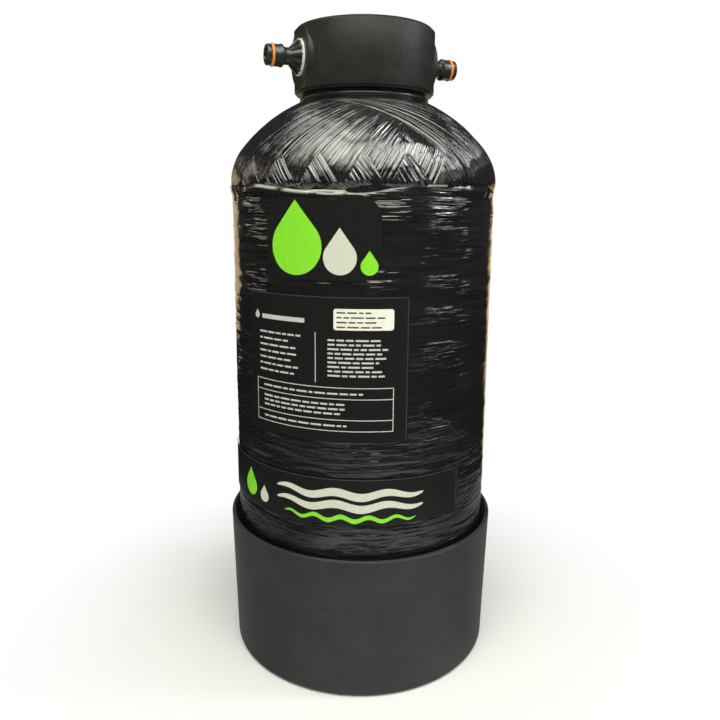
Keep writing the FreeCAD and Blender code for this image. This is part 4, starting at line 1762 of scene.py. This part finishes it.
@dataclass(frozen=True)
class Lamp:
    """A soft box that looks at the vessel's middle."""

    name: str
    azimuth: float
    elevation: float
    distance: float
    width: float
    height: float
    radiance: float
    colour: Colour = WHITE

    def build(self, target: Vector) -> None:
        """Add the lamp.

        Args:
            target: the place that it looks at.
        """
        light = bpy.data.lights.new(self.name, "AREA")
        light.shape = "RECTANGLE"
        light.size = self.width
        light.size_y = self.height
        light.energy = self.radiance * math.pi * self.width * self.height
        light.color = self.colour
        lamp = bpy.data.objects.new(self.name, light)
        bpy.context.scene.collection.objects.link(lamp)
        turn, rise = math.radians(self.azimuth), math.radians(self.elevation)
        away = Vector((math.cos(turn) * math.cos(rise), math.sin(turn) * math.cos(rise),
                       math.sin(rise)))
        lamp.location = target + away * self.distance
        lamp.rotation_euler = away.to_track_quat("Z", "Y").to_euler()


@dataclass
class Studio:
    """Camera, floor, surroundings and lamps."""

    lens: float = 34.704
    sensor: float = 36.0
    nearest: float = 0.01
    shift: float = -0.0334
    spot: Triple = (-0.2131, -0.52314, 0.360784)
    pitch: float = 10.629
    roll: float = 0.476
    heading: tuple[float, float] = (0.37461, 0.92718)
    target: Triple = (0.0, 0.0, 0.3)
    room_light: Colour = (0.27, 0.27, 0.27)
    dark: Colour = (0.03, 0.03, 0.03)
    warm: Colour = (0.9, 0.66, 0.36)
    warm_side: float = 60.0
    warm_span: Span = (0.885, 0.96)
    warm_lift: Triple = (0.0, 0.0, 0.1)
    warm_flattening: Triple = (1.0, 1.0, 3.0)
    floor_size: float = 8.0
    floor_shades: Span = (0.90, 0.92)
    floor_white: Span = (0.14, 0.30)
    floor_glow_reach: Span = (0.35, 0.42)
    floor_glow: Span = (0.44, 0.03)
    front_side: float = -100.0
    front_span: Span = (0.55, 0.9)
    front_glow: Span = (0.35, 1.0)
    lamps: list[Lamp] = field(default_factory=lambda: [
        Lamp("sky_box", -112.0, 54.0, 1.5, 2.0, 1.35, 3.5, (1.0, 1.0, 0.89)),
        Lamp("right_window", -36.0, 27.0, 1.6, 0.5, 0.2, 4.0),
        Lamp("high_window", -27.0, 37.0, 1.6, 0.3, 0.75, 8.0),
        Lamp("low_window", -36.0, 12.0, 1.6, 1.3, 0.14, 2.0),
        Lamp("left_window", 140.0, 15.0, 1.8, 1.0, 0.25, 1.6, (1.0, 0.88, 0.7)),
        Lamp("left_sky", 152.0, 66.0, 1.6, 0.9, 0.35, 2.0),
        Lamp("warm_left", 99.0, -1.0, 1.6, 0.75, 0.5, 0.6, (1.0, 0.74, 0.44)),
    ])

    def add_camera(self) -> None:
        """Set the camera where the photograph was taken from."""
        lens = bpy.data.cameras.new("camera")
        lens.lens = self.lens
        lens.sensor_width = self.sensor
        lens.shift_y = self.shift
        lens.clip_start = self.nearest
        camera = bpy.data.objects.new("camera", lens)
        bpy.context.scene.collection.objects.link(camera)
        east, north = self.heading
        pitch, roll = math.radians(self.pitch), math.radians(self.roll)
        side = Vector((north, -east, 0.0))
        ahead = Vector((east * math.cos(pitch), north * math.cos(pitch), -math.sin(pitch)))
        over = Vector((east * math.sin(pitch), north * math.sin(pitch), math.cos(pitch)))
        across = math.cos(roll) * side + math.sin(roll) * over
        upright = -math.sin(roll) * side + math.cos(roll) * over
        turn = Matrix((across, upright, -ahead)).transposed().to_4x4()
        camera.matrix_world = Matrix.Translation(Vector(self.spot)) @ turn
        bpy.context.scene.camera = camera

    def add_world(self) -> None:
        """Show white to the camera and dim light to the pieces, with one warm side in their gloss."""
        world = bpy.data.worlds.new("room")
        bpy.context.scene.world = world
        world.use_nodes = True
        room = Nodes(world.node_tree)
        direction = room.node("ShaderNodeTexCoord").outputs["Generated"]
        for operation, amount in (("ADD", self.warm_lift), ("MULTIPLY", self.warm_flattening),
                                  ("NORMALIZE", None)):
            direction = room.vector_math(operation, direction, amount).outputs["Vector"]
        ramp = room.ramp(room.facing(direction, self.warm_side),
                         list(zip(self.warm_span, (self.dark, self.warm))))
        plain = room.light("ShaderNodeBackground", self.room_light)
        gloss = room.light("ShaderNodeBackground")
        room.link(ramp, gloss.inputs["Color"])
        white = room.light("ShaderNodeBackground")
        paths = room.node("ShaderNodeLightPath").outputs
        shader = room.cover(plain.outputs[0], [(paths[Ray.GLOSSY.value], gloss),
                                               (paths[Ray.TRANSMISSION.value], white),
                                               (paths[Ray.CAMERA.value], white)])
        room.link(shader, room.node("ShaderNodeOutputWorld").inputs["Surface"])

    def add_floor(self) -> None:
        """Lay a pale floor that keeps the vessel's shadow and looks dim in its gloss."""
        deselect_all()
        bpy.ops.mesh.primitive_plane_add(size=self.floor_size, location=(0, 0, 0))
        floor = settle(named("floor"))
        graph = Graph("pale_floor")
        graph.constant(Roughness=0.9, Specular_IOR_Level=0.0)
        darker, lighter = self.floor_shades
        graph.shades(graph.noise(graph.place(), 2.0), WHITE, (0.0, darker), (1.0, lighter))
        distance = graph.vector_math("LENGTH", graph.place()).outputs["Value"]
        outward = graph.vector_math("NORMALIZE", graph.place()).outputs["Vector"]
        far = graph.spread(distance, self.floor_white)
        near = graph.spread(distance, self.floor_glow_reach, self.floor_glow)
        behind = graph.spread(graph.facing(outward, self.warm_side), self.warm_span)
        ahead = graph.spread(graph.facing(outward, self.front_side), self.front_span,
                             self.front_glow)
        white = graph.light("ShaderNodeEmission")
        warm = graph.light("ShaderNodeEmission", self.warm)
        dim = graph.light("ShaderNodeEmission")
        graph.link(graph.math("MULTIPLY", near, ahead), dim.inputs["Strength"])
        paths = graph.node("ShaderNodeLightPath").outputs
        seen, glossy = paths[Ray.CAMERA.value], paths[Ray.GLOSSY.value]
        shader = graph.cover(graph.shader.outputs[0],
                             [(graph.math("MULTIPLY", far, seen), white), (glossy, dim),
                              (graph.math("MULTIPLY", behind, glossy), warm)])
        graph.link(shader, graph.output.inputs["Surface"])
        floor.data.materials.append(graph.material)

    def build(self) -> None:
        """Set up the studio."""
        self.add_camera()
        self.add_world()
        self.add_floor()
        for lamp in self.lamps:
            lamp.build(Vector(self.target))
        bpy.context.scene.view_settings.view_transform = "Standard"


def main() -> None:
    """Build the studio and the vessel's pieces in order."""
    logging.basicConfig(level=logging.INFO, format="%(message)s")
    palette = Palette()
    Studio().build()
    HoopWinding().build(palette)
    DomeWinding().build(palette)
    NeckInsert().build(palette)
    Head().build(palette)
    for side in ("inlet", "outlet"):
        HoseConnector(side).build(palette)
    Plainware().build(palette)
    Labels().build(palette)


if __name__ == "__main__":
    main()
